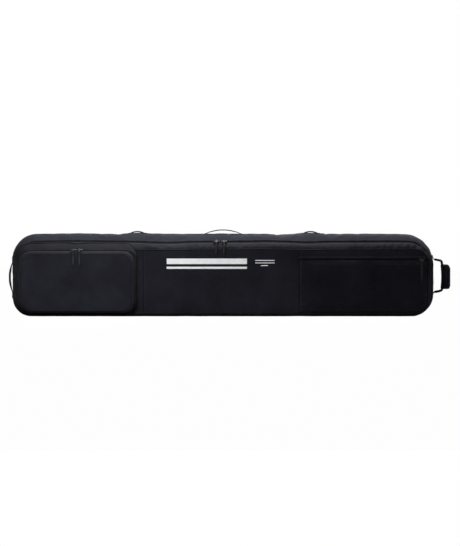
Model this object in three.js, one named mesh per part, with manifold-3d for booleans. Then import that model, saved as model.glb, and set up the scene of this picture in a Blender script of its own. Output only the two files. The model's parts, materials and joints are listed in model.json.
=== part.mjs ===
// A padded bag for one or two snowboards, standing on its long bottom edge.
// The rear shell is the fixed half. The lid, with a gusseted boot pocket and a flat
// sleeve pocket on it, folds down about the bottom front edge once the main zip is open.
// Frame: millimetres, +X along the bag, -Y towards the lid, +Z up, origin in the middle
// of the bottom face.
import * as THREE from "three";
import { mergeVertices } from "three/addons/utils/BufferGeometryUtils.js";
import Module from "manifold-3d";

// ---- Driving dimensions -------------------------------------------------------------
const HALF_LENGTH = 844;
const HEIGHT = 328;
const HALF_DEPTH = 80;
const WALL = 7; // padded wall: outer cloth, foam and backing cloth
const GAP = 0.3; // clearance between pieces that are sewn or rest together
const FAR = 2000; // larger than the bag, for cutting blocks

// Corner radii of the bag's full outline, and of its two flat faces.
const BODY_RADII = { bl: 72, br: 86, tr: 116, tl: 100 };
const FACE_RADII = { bl: 52, br: 58, tr: 48, tl: 48 };
const CORNER_STEPS = 7;

// Cross-section of the bag, front to back. Each station says how far the outline is set
// in from the full one at the top, at the two ends and at the bottom, and how far its
// corner radii have gone from those of a face (0) to those of the body (1).
const SECTION = [
  { y: -80, top: 60, end: 30, bottom: 12, round: 0 },
  { y: -76, top: 49, end: 22, bottom: 7, round: 0.3 },
  { y: -62, top: 31, end: 10, bottom: 2, round: 0.7 },
  { y: -40, top: 12, end: 3, bottom: 0, round: 0.95 },
  { y: -10, top: 2, end: 0, bottom: 0, round: 1 },
  { y: 20, top: 0, end: 0, bottom: 0, round: 1 },
  { y: 50, top: 8, end: 6, bottom: 0, round: 0.9 },
  { y: 70, top: 28, end: 20, bottom: 6, round: 0.5 },
  { y: 80, top: 50, end: 38, bottom: 16, round: 0 },
];

// The main zip lies in one plane across the depth; each tape is a slice of the wall.
const ZIP_Y = -61.3;
const TAPE = 4.6;
const HINGE = { y: -HALF_DEPTH, z: 14 }; // seam along the bottom front, where the lid folds
const LID_Z = HINGE.z + GAP; // the lid starts above that seam
const END_X = 742; // the straight runs end here and the corners begin
const LOW_Z = 100; // splits the bottom wall from the top wall between the ends

// Boot pocket, at the left of the lid: outline and depth stations.
const POCKET = { x0: -824, x1: -334, z0: 16, z1: 290, face: -118, wall: 3.5 };
const POCKET_SECTION = [
  { y: -56, top: -6, side: -1, bottom: 0 },
  { y: -80, top: 4, side: 0, bottom: 0 },
  { y: -98, top: 17, side: 3, bottom: 0 },
  { y: -108, top: 26, side: 6, bottom: 1 },
  { y: -114, top: 32, side: 10, bottom: 5 },
  { y: -118, top: 39, side: 17, bottom: 12 },
];
const POCKET_RADII = { bl: 58, br: 42, tr: 46, tl: 52 };
const POCKET_ZIP_Y = -108; // plane that parts the pocket's face from its gusset
const POCKET_ZIP_LOW = 56; // the pocket zip turns the corners and ends down here
const POCKET_TAPE = 4;

// Sleeve pocket, at the right of the lid.
const SLEEVE = { x0: 306, x1: 812, z0: 20, mouth: 222, lift: 9, cloth: 1.5, rim: 3, inset: 4 };
const SLEEVE_ZIP = { z: 228.5, half: 6.2, lift: 4 };

// Zip sliders. Each kind lies on a surface whose outward normal leans forward from
// straight up by tilt degrees. Its pull hangs in the plane y = hang, length long.
const MAIN_SLIDERS = {
  left: -26,
  right: 5,
  y: ZIP_Y - 0.7,
  z: HEIGHT - 30,
  tilt: 45,
  hang: -HALF_DEPTH - 4.4,
  length: 64,
};
const POCKET_SLIDERS = {
  left: -598,
  right: -573,
  y: POCKET_ZIP_Y - 1.2,
  z: POCKET.z1 - 26,
  tilt: 40,
  hang: POCKET.face - 4.2,
  length: 78,
};
const PIN = { height: 9.4, radius: 0.9 }; // the pull's pin, above the slider's base
const SLEEVE_SLIDER = {
  x: 795,
  y: -HALF_DEPTH - SLEEVE.lift,
  z: SLEEVE_ZIP.z,
  tilt: 90,
  hang: -HALF_DEPTH - SLEEVE.lift - PIN.height,
  length: 88,
};
const CROWN = { length: 23, width: 11, nose: 14, thick: 3.4, lift: 3.3 }; // slider's plate
const LUG = { x: 3.6, thick: 1.6, depth: 5, height: 7, base: 4.6 };
const EYE = { radius: 2.3, hole: 1.25, width: 4.4 };
const PULL = { cord: 2.6, tab: 4.4, width: 9, share: 0.38 }; // the tab starts at that share

// Webbing of the handles and loops.
const WEB = 2.6;
const CARRY = { x: 0, chord: 78, rise: 17, split: 52, tail: 128, width: 30 };
const LOOPS = [
  { name: "left", x: -344, chord: 38, rise: 11, split: 24, tail: 56, width: 25 },
  { name: "right", x: 352, chord: 38, rise: 11, split: 24, tail: 56, width: 25 },
];
const LEFT_GRAB = { z: 156, chord: 60, rise: 14, split: 38, tail: 84, width: 30 };
const WEB_Y = 6; // middle of the handles across the bag's depth
const LASH = { x0: 129, x1: 208, width: 26 };
const TIE_DOWN = { x: 400, z0: 42, z1: 246, width: 38, thick: 1.6 };
const BUCKLE = { width: 52, height: 34, thick: 6, slot: 7, spread: 7.5 };
const BINDING = { radius: 1.4, out: 0.2, drop: 5.8 }; // bound seam, from the hinge line
const END_GRAB = { top: 225, low: 99, stub: 14, tail: 20, width: 36, bevel: 16 };
const GRIP = { x0: 874, x1: 914, z0: 108, z1: 208, half: 22, slot: 881, outer: 14, inner: 7 };

const COLOURS = {
  shell: [0x26262b, 0.85],
  base: [0x131317, 0.7],
  webbing: [0x101013, 0.8],
  tape: [0x0c0c0f, 0.75],
  lining: [0x3a3b41, 0.95],
  foam: [0x55565c, 1],
  slider: [0x1b1c21, 0.45],
  pull: [0x0e0e11, 0.6],
};

// ---- Solids -------------------------------------------------------------------------
const wasm = await Module();
wasm.setup();

// A closed three.js geometry as a solid that can be cut and joined.
function solid(geometry) {
  const bare = new THREE.BufferGeometry();
  const source = geometry.index ? geometry.toNonIndexed() : geometry;
  bare.setAttribute("position", source.getAttribute("position"));
  const merged = mergeVertices(bare, 1e-4);
  return new wasm.Manifold(
    new wasm.Mesh({
      numProp: 3,
      vertProperties: new Float32Array(merged.attributes.position.array),
      triVerts: new Uint32Array(merged.index.array),
    }),
  );
}

function geometryOf(body) {
  const mesh = body.getMesh();
  const geometry = new THREE.BufferGeometry();
  const positions = new Float32Array(mesh.numVert * 3);
  for (let i = 0; i < mesh.numVert; i++) {
    const start = i * mesh.numProp;
    positions.set(mesh.vertProperties.subarray(start, start + 3), i * 3);
  }
  geometry.setAttribute("position", new THREE.BufferAttribute(positions, 3));
  geometry.setIndex(new THREE.BufferAttribute(new Uint32Array(mesh.triVerts), 1));
  return geometry;
}

// A block between two corners; a side that is left out runs far past the bag.
function block({ x0 = -FAR, x1 = FAR, y0 = -FAR, y1 = FAR, z0 = -FAR, z1 = FAR }) {
  const box = new THREE.BoxGeometry(x1 - x0, y1 - y0, z1 - z0);
  box.translate((x0 + x1) / 2, (y0 + y1) / 2, (z0 + z1) / 2);
  return solid(box);
}

// A rectangle in X and Z with a radius of its own at each corner, counter-clockwise as
// seen from the front, as a list of [x, z].
function outline(x0, x1, z0, z1, radii) {
  const corners = [
    [x0 + radii.bl, z0 + radii.bl, radii.bl, Math.PI],
    [x1 - radii.br, z0 + radii.br, radii.br, 1.5 * Math.PI],
    [x1 - radii.tr, z1 - radii.tr, radii.tr, 0],
    [x0 + radii.tl, z1 - radii.tl, radii.tl, 0.5 * Math.PI],
  ];
  const points = [];
  for (const [cx, cz, radius, from] of corners) {
    for (let i = 0; i <= CORNER_STEPS; i++) {
      const angle = from + (0.5 * Math.PI * i) / CORNER_STEPS;
      points.push([cx + radius * Math.cos(angle), cz + radius * Math.sin(angle)]);
    }
  }
  return points;
}

// A closed skin through outlines of the same number of points, front to back.
function loft(layers) {
  const count = layers[0].points.length;
  const positions = layers.flatMap(({ y, points }) => points.flatMap(([x, z]) => [x, y, z]));
  const index = [];
  for (let k = 0; k + 1 < layers.length; k++) {
    for (let i = 0; i < count; i++) {
      const j = (i + 1) % count;
      const [a, b] = [k * count + i, k * count + j];
      const [c, d] = [b + count, a + count];
      index.push(a, d, c, a, c, b);
    }
  }
  const last = (layers.length - 1) * count;
  for (let i = 1; i + 1 < count; i++) {
    index.push(0, i, i + 1, last, last + i + 1, last + i);
  }
  const geometry = new THREE.BufferGeometry();
  geometry.setAttribute("position", new THREE.Float32BufferAttribute(positions, 3));
  geometry.setIndex(index);
  return solid(geometry);
}

const mix = (a, b, t) => a + (b - a) * t;

// The bag's outline at one station of its section, set in by a further margin.
function bodyOutline(station, margin = 0) {
  const radii = {};
  for (const corner of Object.keys(BODY_RADII)) {
    const full = mix(FACE_RADII[corner], BODY_RADII[corner], station.round);
    radii[corner] = full - margin;
  }
  const half = HALF_LENGTH - station.end - margin;
  const top = HEIGHT - station.top - margin;
  return outline(-half, half, station.bottom + margin, top, radii);
}

// The whole bag as one body, with its skin moved in by a margin.
function bagBody(margin) {
  const squeeze = (HALF_DEPTH - margin) / HALF_DEPTH;
  const layers = SECTION.map((s) => ({ y: s.y * squeeze, points: bodyOutline(s, margin) }));
  return loft(layers);
}

// An upright plate with the outline of a face, between two depths.
function facePlate(station, margin, y0, y1) {
  const points = bodyOutline(station, margin);
  return loft([
    { y: y0, points },
    { y: y1, points },
  ]);
}

// A flat shape in X and Z as a solid of a given width across the depth.
function extrudeAcross(points, width, y = WEB_Y) {
  const shape = new THREE.Shape(points.map(([x, z]) => new THREE.Vector2(x, z)));
  const geometry = new THREE.ExtrudeGeometry(shape, { depth: width, bevelEnabled: false });
  geometry.rotateX(Math.PI / 2);
  geometry.translate(0, y + width / 2, 0);
  return solid(geometry);
}

// A flat shape in Y and Z as a solid of a given width along the bag, about x.
function extrudeAlong(points, width, x) {
  const shape = new THREE.Shape(points.map(([y, z]) => new THREE.Vector2(y, z)));
  const geometry = new THREE.ExtrudeGeometry(shape, { depth: width, bevelEnabled: false });
  geometry.applyMatrix4(new THREE.Matrix4().set(0, 0, 1, 0, 1, 0, 0, 0, 0, 1, 0, 0, 0, 0, 0, 1));
  geometry.translate(x - width / 2, 0, 0);
  return solid(geometry);
}

// A strip of even thickness along a line of points, as a closed outline.
function strip(line, thickness) {
  const left = [];
  const right = [];
  line.forEach((point, i) => {
    const before = line[Math.max(i - 1, 0)];
    const after = line[Math.min(i + 1, line.length - 1)];
    const run = new THREE.Vector2(after[0] - before[0], after[1] - before[1]).normalize();
    const [dx, dz] = [(-run.y * thickness) / 2, (run.x * thickness) / 2];
    left.push([point[0] + dx, point[1] + dz]);
    right.unshift([point[0] - dx, point[1] - dz]);
  });
  return [...left, ...right];
}

// ---- The object ---------------------------------------------------------------------
const bag = new THREE.Group();

function add(name, body, look) {
  const [color, roughness] = COLOURS[look];
  const material = new THREE.MeshStandardMaterial({ color, roughness, metalness: 0 });
  const mesh = new THREE.Mesh(geometryOf(body), material);
  mesh.name = name;
  bag.add(mesh);
}

const FRONT = SECTION[0];
const BACK = SECTION[SECTION.length - 1];
const shell = bagBody(0).subtract(bagBody(WALL));
const between = (body, limits) => body.intersect(block(limits));

// Rear shell: back panel, three gussets and a bottom panel.
function buildRearShell() {
  const start = ZIP_Y + GAP + TAPE + GAP;
  const wall = between(shell, { y0: start }).subtract(facePlate(BACK, -GAP, 40, 200));
  add("back_panel", shell.intersect(facePlate(BACK, 0, 40, 200)), "shell");
  add("rear_gusset_left", between(wall, { x1: -END_X - GAP }), "shell");
  add("rear_gusset_right", between(wall, { x0: END_X + GAP }), "shell");
  add("rear_gusset_top", between(wall, { x0: -END_X, x1: END_X, z0: LOW_Z }), "shell");
  const floor = between(wall, { x0: -END_X, x1: END_X, z1: LOW_Z });
  const lip = between(shell, { x0: -END_X, x1: END_X, y1: start + 1, z1: HINGE.z });
  const corners = between(shell, { y1: start - GAP, z1: HINGE.z });
  add("bottom_panel", floor.add(lip).add(corners), "base");
}

// Lid: front panel and three gussets in front of the zip.
function buildLidShell() {
  const end = ZIP_Y - GAP - TAPE - GAP;
  const lid = between(shell, { y1: end, z0: LID_Z });
  add("front_panel", lid.intersect(facePlate(FRONT, 0, -200, -60)), "shell");
  const wall = lid.subtract(facePlate(FRONT, -GAP, -200, -60));
  add("lid_gusset_left", between(wall, { x1: -END_X - GAP }), "shell");
  add("lid_gusset_right", between(wall, { x0: END_X + GAP }), "shell");
  add("lid_gusset_top", between(wall, { x0: -END_X, x1: END_X, z0: LOW_Z }), "shell");
}

// The two tapes of the main zip, round the top and both ends.
function buildMainZip() {
  const floor = block({ x0: -END_X, x1: END_X, z1: LOW_Z });
  const rear = { y0: ZIP_Y + GAP, y1: ZIP_Y + GAP + TAPE, z0: LID_Z };
  const front = { y0: ZIP_Y - GAP - TAPE, y1: ZIP_Y - GAP, z0: LID_Z };
  add("main_zip_tape_rear", between(shell, rear).subtract(floor), "tape");
  add("main_zip_tape_lid", between(shell, front).subtract(floor), "tape");
}

// Foam and lining inside the two faces.
const FOAM = { out: HALF_DEPTH - WALL - GAP, in: HALF_DEPTH - WALL - GAP - 8 };
const LINING = { out: FOAM.in - GAP, in: FOAM.in - GAP - 1.2 };
function buildLinings() {
  const margin = WALL + 3;
  add("back_foam", facePlate(BACK, margin, FOAM.in, FOAM.out), "foam");
  add("front_foam", facePlate(FRONT, margin, -FOAM.out, -FOAM.in), "foam");
  add("back_lining", facePlate(BACK, margin, LINING.in, LINING.out), "lining");
  add("front_lining", facePlate(FRONT, margin, -LINING.out, -LINING.in), "lining");
}

// Two straps that hold the boards against the back, each with its buckle.
function buildTieDowns() {
  const back = LINING.in - GAP;
  const { z0, z1, width, thick } = TIE_DOWN;
  for (const side of [-1, 1]) {
    const name = side < 0 ? "left" : "right";
    const [x0, x1] = [side * TIE_DOWN.x - width / 2, side * TIE_DOWN.x + width / 2];
    const strap = block({ x0, x1, y0: back - thick, y1: back, z0, z1 });
    add(`tie_down_strap_${name}`, strap, "webbing");
    const middle = (z0 + z1) / 2;
    const front = back - thick - GAP;
    const frame = block({
      x0: side * TIE_DOWN.x - BUCKLE.width / 2,
      x1: side * TIE_DOWN.x + BUCKLE.width / 2,
      y0: front - BUCKLE.thick,
      y1: front,
      z0: middle - BUCKLE.height / 2,
      z1: middle + BUCKLE.height / 2,
    });
    const slots = [-1, 1].map((s) => {
      const z = middle + s * BUCKLE.spread;
      return block({ x0, x1, z0: z - BUCKLE.slot / 2, z1: z + BUCKLE.slot / 2 });
    });
    add(`tie_down_buckle_${name}`, frame.subtract(slots[0]).subtract(slots[1]), "slider");
  }
}

// Bound seam along the fold of the lid.
function buildHingeBinding() {
  const { radius, out, drop } = BINDING;
  const cord = new THREE.CylinderGeometry(radius, radius, 2 * END_X, 8);
  cord.rotateZ(Math.PI / 2);
  cord.translate(0, HINGE.y + out, HINGE.z - drop);
  add("hinge_binding", solid(cord), "base");
}

// Boot pocket: a gusset standing off the lid, and a face that folds down from its zip.
function buildBootPocket() {
  const layer = (station, margin, y) => {
    const side = station.side + margin;
    const [x0, x1] = [POCKET.x0 + side, POCKET.x1 - side];
    const [z0, z1] = [POCKET.z0 + station.bottom + margin, POCKET.z1 - station.top - margin];
    const radii = {};
    for (const corner of Object.keys(POCKET_RADII)) radii[corner] = POCKET_RADII[corner] - margin;
    return { y, points: outline(x0, x1, z0, z1, radii) };
  };
  const stations = [...POCKET_SECTION].reverse();
  const outer = loft(stations.map((s) => layer(s, 0, s.y)));
  const inner = loft(stations.map((s) => layer(s, POCKET.wall, s.y + POCKET.wall)));
  const wall = outer.subtract(inner).subtract(bagBody(-GAP));
  const gusset = between(wall, { y0: POCKET_ZIP_Y + GAP });
  const high = block({ y1: POCKET_ZIP_Y + POCKET_TAPE + 2 * GAP, z0: POCKET_ZIP_LOW - GAP });
  add("pocket_gusset", gusset.subtract(high), "shell");
  const upper = { y1: POCKET_ZIP_Y + POCKET_TAPE + GAP, z0: POCKET_ZIP_LOW };
  add("pocket_zip_tape_upper", between(gusset, upper), "tape");
  const face = between(wall, { y1: POCKET_ZIP_Y });
  const rim = block({ y0: POCKET_ZIP_Y - POCKET_TAPE - GAP, z0: POCKET_ZIP_LOW - GAP });
  add("pocket_face", face.subtract(rim), "shell");
  const lower = { y0: POCKET_ZIP_Y - POCKET_TAPE, z0: POCKET_ZIP_LOW };
  add("pocket_zip_tape_lower", between(face, lower), "tape");
}

// Sleeve pocket: a shallow tray of cloth, open at the top under its own zip.
function buildSleevePocket() {
  const back = -HALF_DEPTH - GAP;
  const front = -HALF_DEPTH - SLEEVE.lift;
  const { rim, inset, cloth } = SLEEVE;
  const limits = { x0: SLEEVE.x0, z0: SLEEVE.z0, z1: SLEEVE.mouth };
  const tray = between(facePlate(FRONT, inset, front, back), limits);
  const hollow = between(facePlate(FRONT, inset + rim, front + cloth, back + 1), {
    x0: SLEEVE.x0 + rim,
    z0: SLEEVE.z0 + rim,
  });
  add("sleeve_panel", tray.subtract(hollow), "shell");
  const { z, half, lift } = SLEEVE_ZIP;
  const tape = { x0: SLEEVE.x0, x1: SLEEVE.x1, y0: front, y1: front + lift };
  add("sleeve_zip_tape_lower", block({ ...tape, z0: z - half, z1: z - GAP / 2 }), "tape");
  add("sleeve_zip_tape_upper", block({ ...tape, y1: back, z0: z + GAP / 2, z1: z + half }), "tape");
}

// A slider of one kind at x, with a pin between two lugs, and the pull that swings on
// that pin: an eye, a cord and a flat tab.
function buildSlider(name, x, { y, z, tilt, hang, length }) {
  const place = (geometry) => {
    geometry.rotateX(THREE.MathUtils.degToRad(tilt));
    geometry.translate(x, y, z);
    return solid(geometry);
  };
  const box = (w, d, h, cx, cz) => place(new THREE.BoxGeometry(w, d, h).translate(cx, 0, cz));
  const crown = box(CROWN.length, CROWN.width, CROWN.thick, 0, CROWN.lift);
  const nose = box(CROWN.nose, CROWN.nose, CROWN.thick, -2, CROWN.lift);
  const middle = LUG.base + LUG.height / 2;
  const ears = [-1, 1].map((s) => box(LUG.thick, LUG.depth, LUG.height, s * LUG.x, middle));
  const pin = new THREE.CylinderGeometry(PIN.radius, PIN.radius, 2 * LUG.x, 8);
  const bar = place(pin.rotateZ(Math.PI / 2).translate(0, 0, PIN.height));
  add(`${name}_slider`, crown.add(nose).add(ears[0]).add(ears[1]).add(bar), "slider");

  const lean = THREE.MathUtils.degToRad(tilt);
  const pivot = [y - PIN.height * Math.sin(lean), z + PIN.height * Math.cos(lean)];
  const ring = (radius, width, sides) => {
    const round = new THREE.CylinderGeometry(radius, radius, width, sides);
    return solid(round.rotateZ(Math.PI / 2).translate(x, pivot[0], pivot[1]));
  };
  const low = pivot[1] - length;
  const bend = pivot[1] - Math.max(4, 1.1 * Math.abs(pivot[0] - hang));
  const line = [pivot, [hang, bend], [hang, low + 6]];
  const cord = extrudeAlong(strip(line, PULL.cord), EYE.width, x);
  const flat = [[hang, pivot[1] - length * PULL.share], [hang, low]];
  const tab = extrudeAlong(strip(flat, PULL.tab), PULL.width, x);
  const eye = ring(EYE.radius, EYE.width, 10);
  const hole = ring(EYE.hole, 2 * EYE.width, 8);
  add(`${name}_pull`, cord.add(eye).add(tab).subtract(hole), "pull");
}

function buildSliders() {
  for (const side of ["left", "right"]) {
    buildSlider(`main_${side}`, MAIN_SLIDERS[side], MAIN_SLIDERS);
    buildSlider(`pocket_${side}`, POCKET_SLIDERS[side], POCKET_SLIDERS);
  }
  buildSlider("sleeve", SLEEVE_SLIDER.x, SLEEVE_SLIDER);
}

// Centreline of a webbing arch from one foot to the other, as distance and height.
function archLine({ chord, rise }, from, to, steps) {
  const line = [];
  for (let i = 0; i <= steps; i++) {
    const s = mix(from, to, i / steps);
    line.push([s, GAP + WEB / 2 + rise * (1 - (s / chord) ** 2)]);
  }
  return line;
}

// An arch of webbing and its two sewn-down ends. turn carries distance and height to
// X and Z, so the same arch serves on the top and on an end wall.
function buildArch(name, spec, anchors, turn) {
  const { chord, split, tail, width } = spec;
  const make = (line) => extrudeAcross(strip(line.map(turn), WEB), width);
  const foot = (side) => [
    ...archLine(spec, side * (split + 3 * GAP), side * chord, 3),
    [side * tail, GAP + WEB / 2],
  ];
  add(name, make(archLine(spec, -split, split, 9)), "webbing");
  add(`${name}_${anchors[0]}`, make(foot(-1).reverse()), "webbing");
  add(`${name}_${anchors[1]}`, make(foot(1)), "webbing");
}

function buildTopWebbing() {
  const ends = ["anchor_left", "anchor_right"];
  buildArch("carry_handle", CARRY, ends, ([s, h]) => [CARRY.x + s, HEIGHT + h]);
  for (const loop of LOOPS) {
    buildArch(`strap_loop_${loop.name}`, loop, ends, ([s, h]) => [loop.x + s, HEIGHT + h]);
  }
  const lash = { x0: LASH.x0, x1: LASH.x1, z0: HEIGHT + GAP, z1: HEIGHT + GAP + WEB };
  const [y0, y1] = [WEB_Y - LASH.width / 2, WEB_Y + LASH.width / 2];
  add("lash_tab", block({ ...lash, y0, y1 }), "webbing");
}

function buildLeftGrab() {
  const ends = ["anchor_low", "anchor_top"];
  const turn = ([s, h]) => [-HALF_LENGTH - h, LEFT_GRAB.z + s];
  buildArch("left_grab_handle", LEFT_GRAB, ends, turn);
}

// What lies beyond two upright planes that meet on a hinge line at x and lean away from
// it by some degrees: it trims webbing, so that two ends clear each other as one turns.
function vee(x, degrees) {
  const reach = 60;
  const slope = Math.tan(THREE.MathUtils.degToRad(degrees));
  const far = x + Math.sign(degrees) * reach;
  const lean = reach * slope;
  const corners = [[x, 0], [x - lean, reach], [far, reach], [far, -reach], [x - lean, -reach]];
  const shape = new THREE.Shape(corners.map(([px, py]) => new THREE.Vector2(px, py + WEB_Y)));
  const geometry = new THREE.ExtrudeGeometry(shape, { depth: HEIGHT, bevelEnabled: false });
  return solid(geometry);
}

// Handle on the right end: two fixed stubs, a swinging loop of webbing and a padded grip.
function buildEndGrab() {
  const { top, low, stub, tail, width } = END_GRAB;
  const wall = HALF_LENGTH + GAP + WEB / 2;
  const reach = HALF_LENGTH + stub;
  const web = (line) => extrudeAcross(strip(line, WEB), width);
  const hinge = reach + GAP / 2;
  const stubLimit = vee(hinge, END_GRAB.bevel);
  const loopLimit = vee(hinge, -END_GRAB.bevel);
  const upper = [[wall, top + tail], [wall, top + 6], [wall + 3, top + 1], [reach, top]];
  const lower = [[reach, low], [wall + 3, low - 1], [wall, low - 6], [wall, low - tail]];
  add("end_grab_anchor_top", web(upper).subtract(stubLimit), "webbing");
  add("end_grab_anchor_low", web(lower).subtract(stubLimit), "webbing");
  const loop = [
    [reach + GAP, low],
    [reach + 9, low + 2],
    [GRIP.slot - 5, GRIP.z0 - 2],
    [GRIP.slot, GRIP.z0 + 10],
    [GRIP.slot, GRIP.z1 - 8],
    [GRIP.slot - 5, GRIP.z1 + 6],
    [reach + 9, top - 3],
    [reach + GAP, top],
  ];
  add("end_grab_webbing", web(loop).subtract(loopLimit), "webbing");
  const slot = extrudeAcross(strip(loop, WEB + 2 * GAP), width + 2 * GAP);
  const shape = new THREE.Shape();
  const { outer, inner, half } = GRIP;
  const quarter = Math.PI / 2;
  shape.absarc(GRIP.x1 - outer, WEB_Y + half - outer, outer, 0, quarter);
  shape.absarc(GRIP.x0 + inner, WEB_Y + half - inner, inner, quarter, 2 * quarter);
  shape.absarc(GRIP.x0 + inner, WEB_Y - half + inner, inner, 2 * quarter, 3 * quarter);
  shape.absarc(GRIP.x1 - outer, WEB_Y - half + outer, outer, 3 * quarter, 4 * quarter);
  const depth = GRIP.z1 - GRIP.z0;
  const sleeve = new THREE.ExtrudeGeometry(shape, { depth, bevelEnabled: false, curveSegments: 4 });
  add("end_grab_grip", solid(sleeve.translate(0, 0, GRIP.z0)).subtract(slot), "webbing");
}

buildRearShell();
buildLidShell();
buildMainZip();
buildLinings();
buildTieDowns();
buildHingeBinding();
buildBootPocket();
buildSleevePocket();
buildSliders();
buildTopWebbing();
buildLeftGrab();
buildEndGrab();

export default bag;
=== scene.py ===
import json
import math

import bmesh
import bpy
import numpy as np
from mathutils import Matrix, Vector
from mathutils.bvhtree import BVHTree

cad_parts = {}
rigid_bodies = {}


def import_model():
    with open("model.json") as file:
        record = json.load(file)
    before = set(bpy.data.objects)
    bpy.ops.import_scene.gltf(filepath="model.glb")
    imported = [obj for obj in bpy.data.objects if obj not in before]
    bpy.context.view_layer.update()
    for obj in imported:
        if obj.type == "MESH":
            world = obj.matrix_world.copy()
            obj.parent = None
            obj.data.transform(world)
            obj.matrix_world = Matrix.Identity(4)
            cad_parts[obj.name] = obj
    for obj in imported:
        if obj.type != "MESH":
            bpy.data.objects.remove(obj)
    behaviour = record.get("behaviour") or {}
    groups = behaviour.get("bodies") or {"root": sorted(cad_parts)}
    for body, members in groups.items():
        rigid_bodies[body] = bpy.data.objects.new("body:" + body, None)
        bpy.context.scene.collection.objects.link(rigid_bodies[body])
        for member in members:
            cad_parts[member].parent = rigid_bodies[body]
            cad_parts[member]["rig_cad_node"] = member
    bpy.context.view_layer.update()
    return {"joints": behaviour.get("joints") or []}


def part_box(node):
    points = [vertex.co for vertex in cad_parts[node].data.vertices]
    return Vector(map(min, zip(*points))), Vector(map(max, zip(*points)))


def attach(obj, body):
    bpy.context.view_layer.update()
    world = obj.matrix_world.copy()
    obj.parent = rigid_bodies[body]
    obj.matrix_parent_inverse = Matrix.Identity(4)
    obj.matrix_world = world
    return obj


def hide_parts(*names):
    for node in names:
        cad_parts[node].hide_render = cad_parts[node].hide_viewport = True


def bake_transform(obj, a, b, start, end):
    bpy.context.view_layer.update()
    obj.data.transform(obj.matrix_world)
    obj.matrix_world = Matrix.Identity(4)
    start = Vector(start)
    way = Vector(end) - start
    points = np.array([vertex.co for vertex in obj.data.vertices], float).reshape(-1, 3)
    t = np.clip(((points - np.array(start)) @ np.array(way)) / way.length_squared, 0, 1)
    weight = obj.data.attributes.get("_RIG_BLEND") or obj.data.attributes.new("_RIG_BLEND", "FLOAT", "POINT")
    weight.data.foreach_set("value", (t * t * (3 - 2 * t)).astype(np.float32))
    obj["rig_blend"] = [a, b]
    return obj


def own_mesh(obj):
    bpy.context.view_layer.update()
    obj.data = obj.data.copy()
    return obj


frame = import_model()

# ---- Driving sizes, in metres --------------------------------------------------------
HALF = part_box("rear_gusset_right")[1].x
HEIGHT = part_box("rear_gusset_top")[1].z
FRONT_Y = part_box("front_panel")[0].y
BACK_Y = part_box("back_panel")[1].y
ZIP_Y = (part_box("main_zip_tape_lid")[1].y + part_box("main_zip_tape_rear")[0].y) / 2
STEP = 0.007  # spacing of the cloth meshes
SETTLE_FRAMES = 20  # steps of each cloth simulation
ZIP_HALF = 0.0030  # half the width of the sleeve's zip that shows between its cloth edges
ZIP_SINK = 0.0022  # how far the main zip's tape lies under the cloth
SHELL_THICK = 0.0045  # padded gusset and bottom
CLOTH_THICK = 0.0030  # panels of the back and the lid
POCKET_THICK = 0.0025
WEB_THICK = 0.0024
PULL_DROP = 0.0094  # from a pull's hinge down to the middle of its zip
PRINT_LIFT = 0.00035  # ink above its cloth


def mm(*values):
    """Millimetres as metres."""
    return [v / 1000 for v in values]


def box_of(cad_node):
    """Low and high corner of a CAD node's box, as arrays."""
    return [np.array(corner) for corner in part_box(cad_node)]


# ---- Materials -----------------------------------------------------------------------
def new_material(name, roughness, metallic=0.0, sheen=0.0, specular=0.5):
    """A material with its shader, and the constants that sit on the shader's own sockets."""
    material = bpy.data.materials.new(name)
    material.use_nodes = True
    shader = material.node_tree.nodes["Principled BSDF"]
    shader.inputs["Roughness"].default_value = roughness
    shader.inputs["Metallic"].default_value = metallic
    shader.inputs["Specular IOR Level"].default_value = specular
    shader.inputs["Sheen Weight"].default_value = sheen
    shader.inputs["Sheen Roughness"].default_value = 0.45
    return material, material.node_tree, shader


def node(tree, kind, **settings):
    """A shader node of a kind, with its settings."""
    made = tree.nodes.new("ShaderNode" + kind)
    for key, value in settings.items():
        setattr(made, key, value)
    return made


def maths(tree, operation, first, second=0.0):
    """A Math node fed by sockets or numbers, as its output socket."""
    made = node(tree, "Math", operation=operation)
    for socket, value in zip(made.inputs, (first, second)):
        if isinstance(value, (int, float)):
            socket.default_value = value
        else:
            tree.links.new(value, socket)
    return made.outputs[0]


def weave_coordinates(tree):
    """Along and across the cloth, in metres, from the pieces' own map."""
    source = node(tree, "UVMap", uv_map="weave")
    split = node(tree, "SeparateXYZ")
    tree.links.new(source.outputs["UV"], split.inputs[0])
    return split.outputs[0], split.outputs[1]


def noise_value(tree, scale, detail=3.0, roughness=0.55):
    """Noise fixed to the object, from 0 to 1."""
    place = node(tree, "TexCoord")
    made = node(tree, "TexNoise")
    made.inputs["Scale"].default_value = scale
    made.inputs["Detail"].default_value = detail
    made.inputs["Roughness"].default_value = roughness
    tree.links.new(place.outputs["Object"], made.inputs["Vector"])
    return made.outputs["Fac"]


def ramp(tree, value, stops):
    """Colours along a value: stops are (position, (r, g, b))."""
    made = node(tree, "ValToRGB")
    elements = made.color_ramp.elements
    while len(elements) < len(stops):
        elements.new(0.5)
    for element, (position, colour) in zip(elements, stops):
        element.position = position
        element.color = (*colour, 1)
    tree.links.new(value, made.inputs[0])
    return made.outputs[0]


def mixed(tree, factor, first, second, blend="MIX"):
    """Two colours or sockets mixed, as a socket."""
    made = node(tree, "Mix", data_type="RGBA", blend_type=blend)
    for socket, value in zip((made.inputs[0], made.inputs[6], made.inputs[7]), (factor, first, second)):
        if isinstance(value, (int, float)):
            socket.default_value = value
        elif isinstance(value, tuple):
            socket.default_value = (*value, 1)
        else:
            tree.links.new(value, socket)
    return made.outputs[2]


def bump(tree, shader, height, strength, distance):
    """Fine relief on a shader's normal."""
    made = node(tree, "Bump")
    made.inputs["Strength"].default_value = strength
    made.inputs["Distance"].default_value = distance
    tree.links.new(height, made.inputs["Height"])
    tree.links.new(made.outputs[0], shader.inputs["Normal"])


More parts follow.
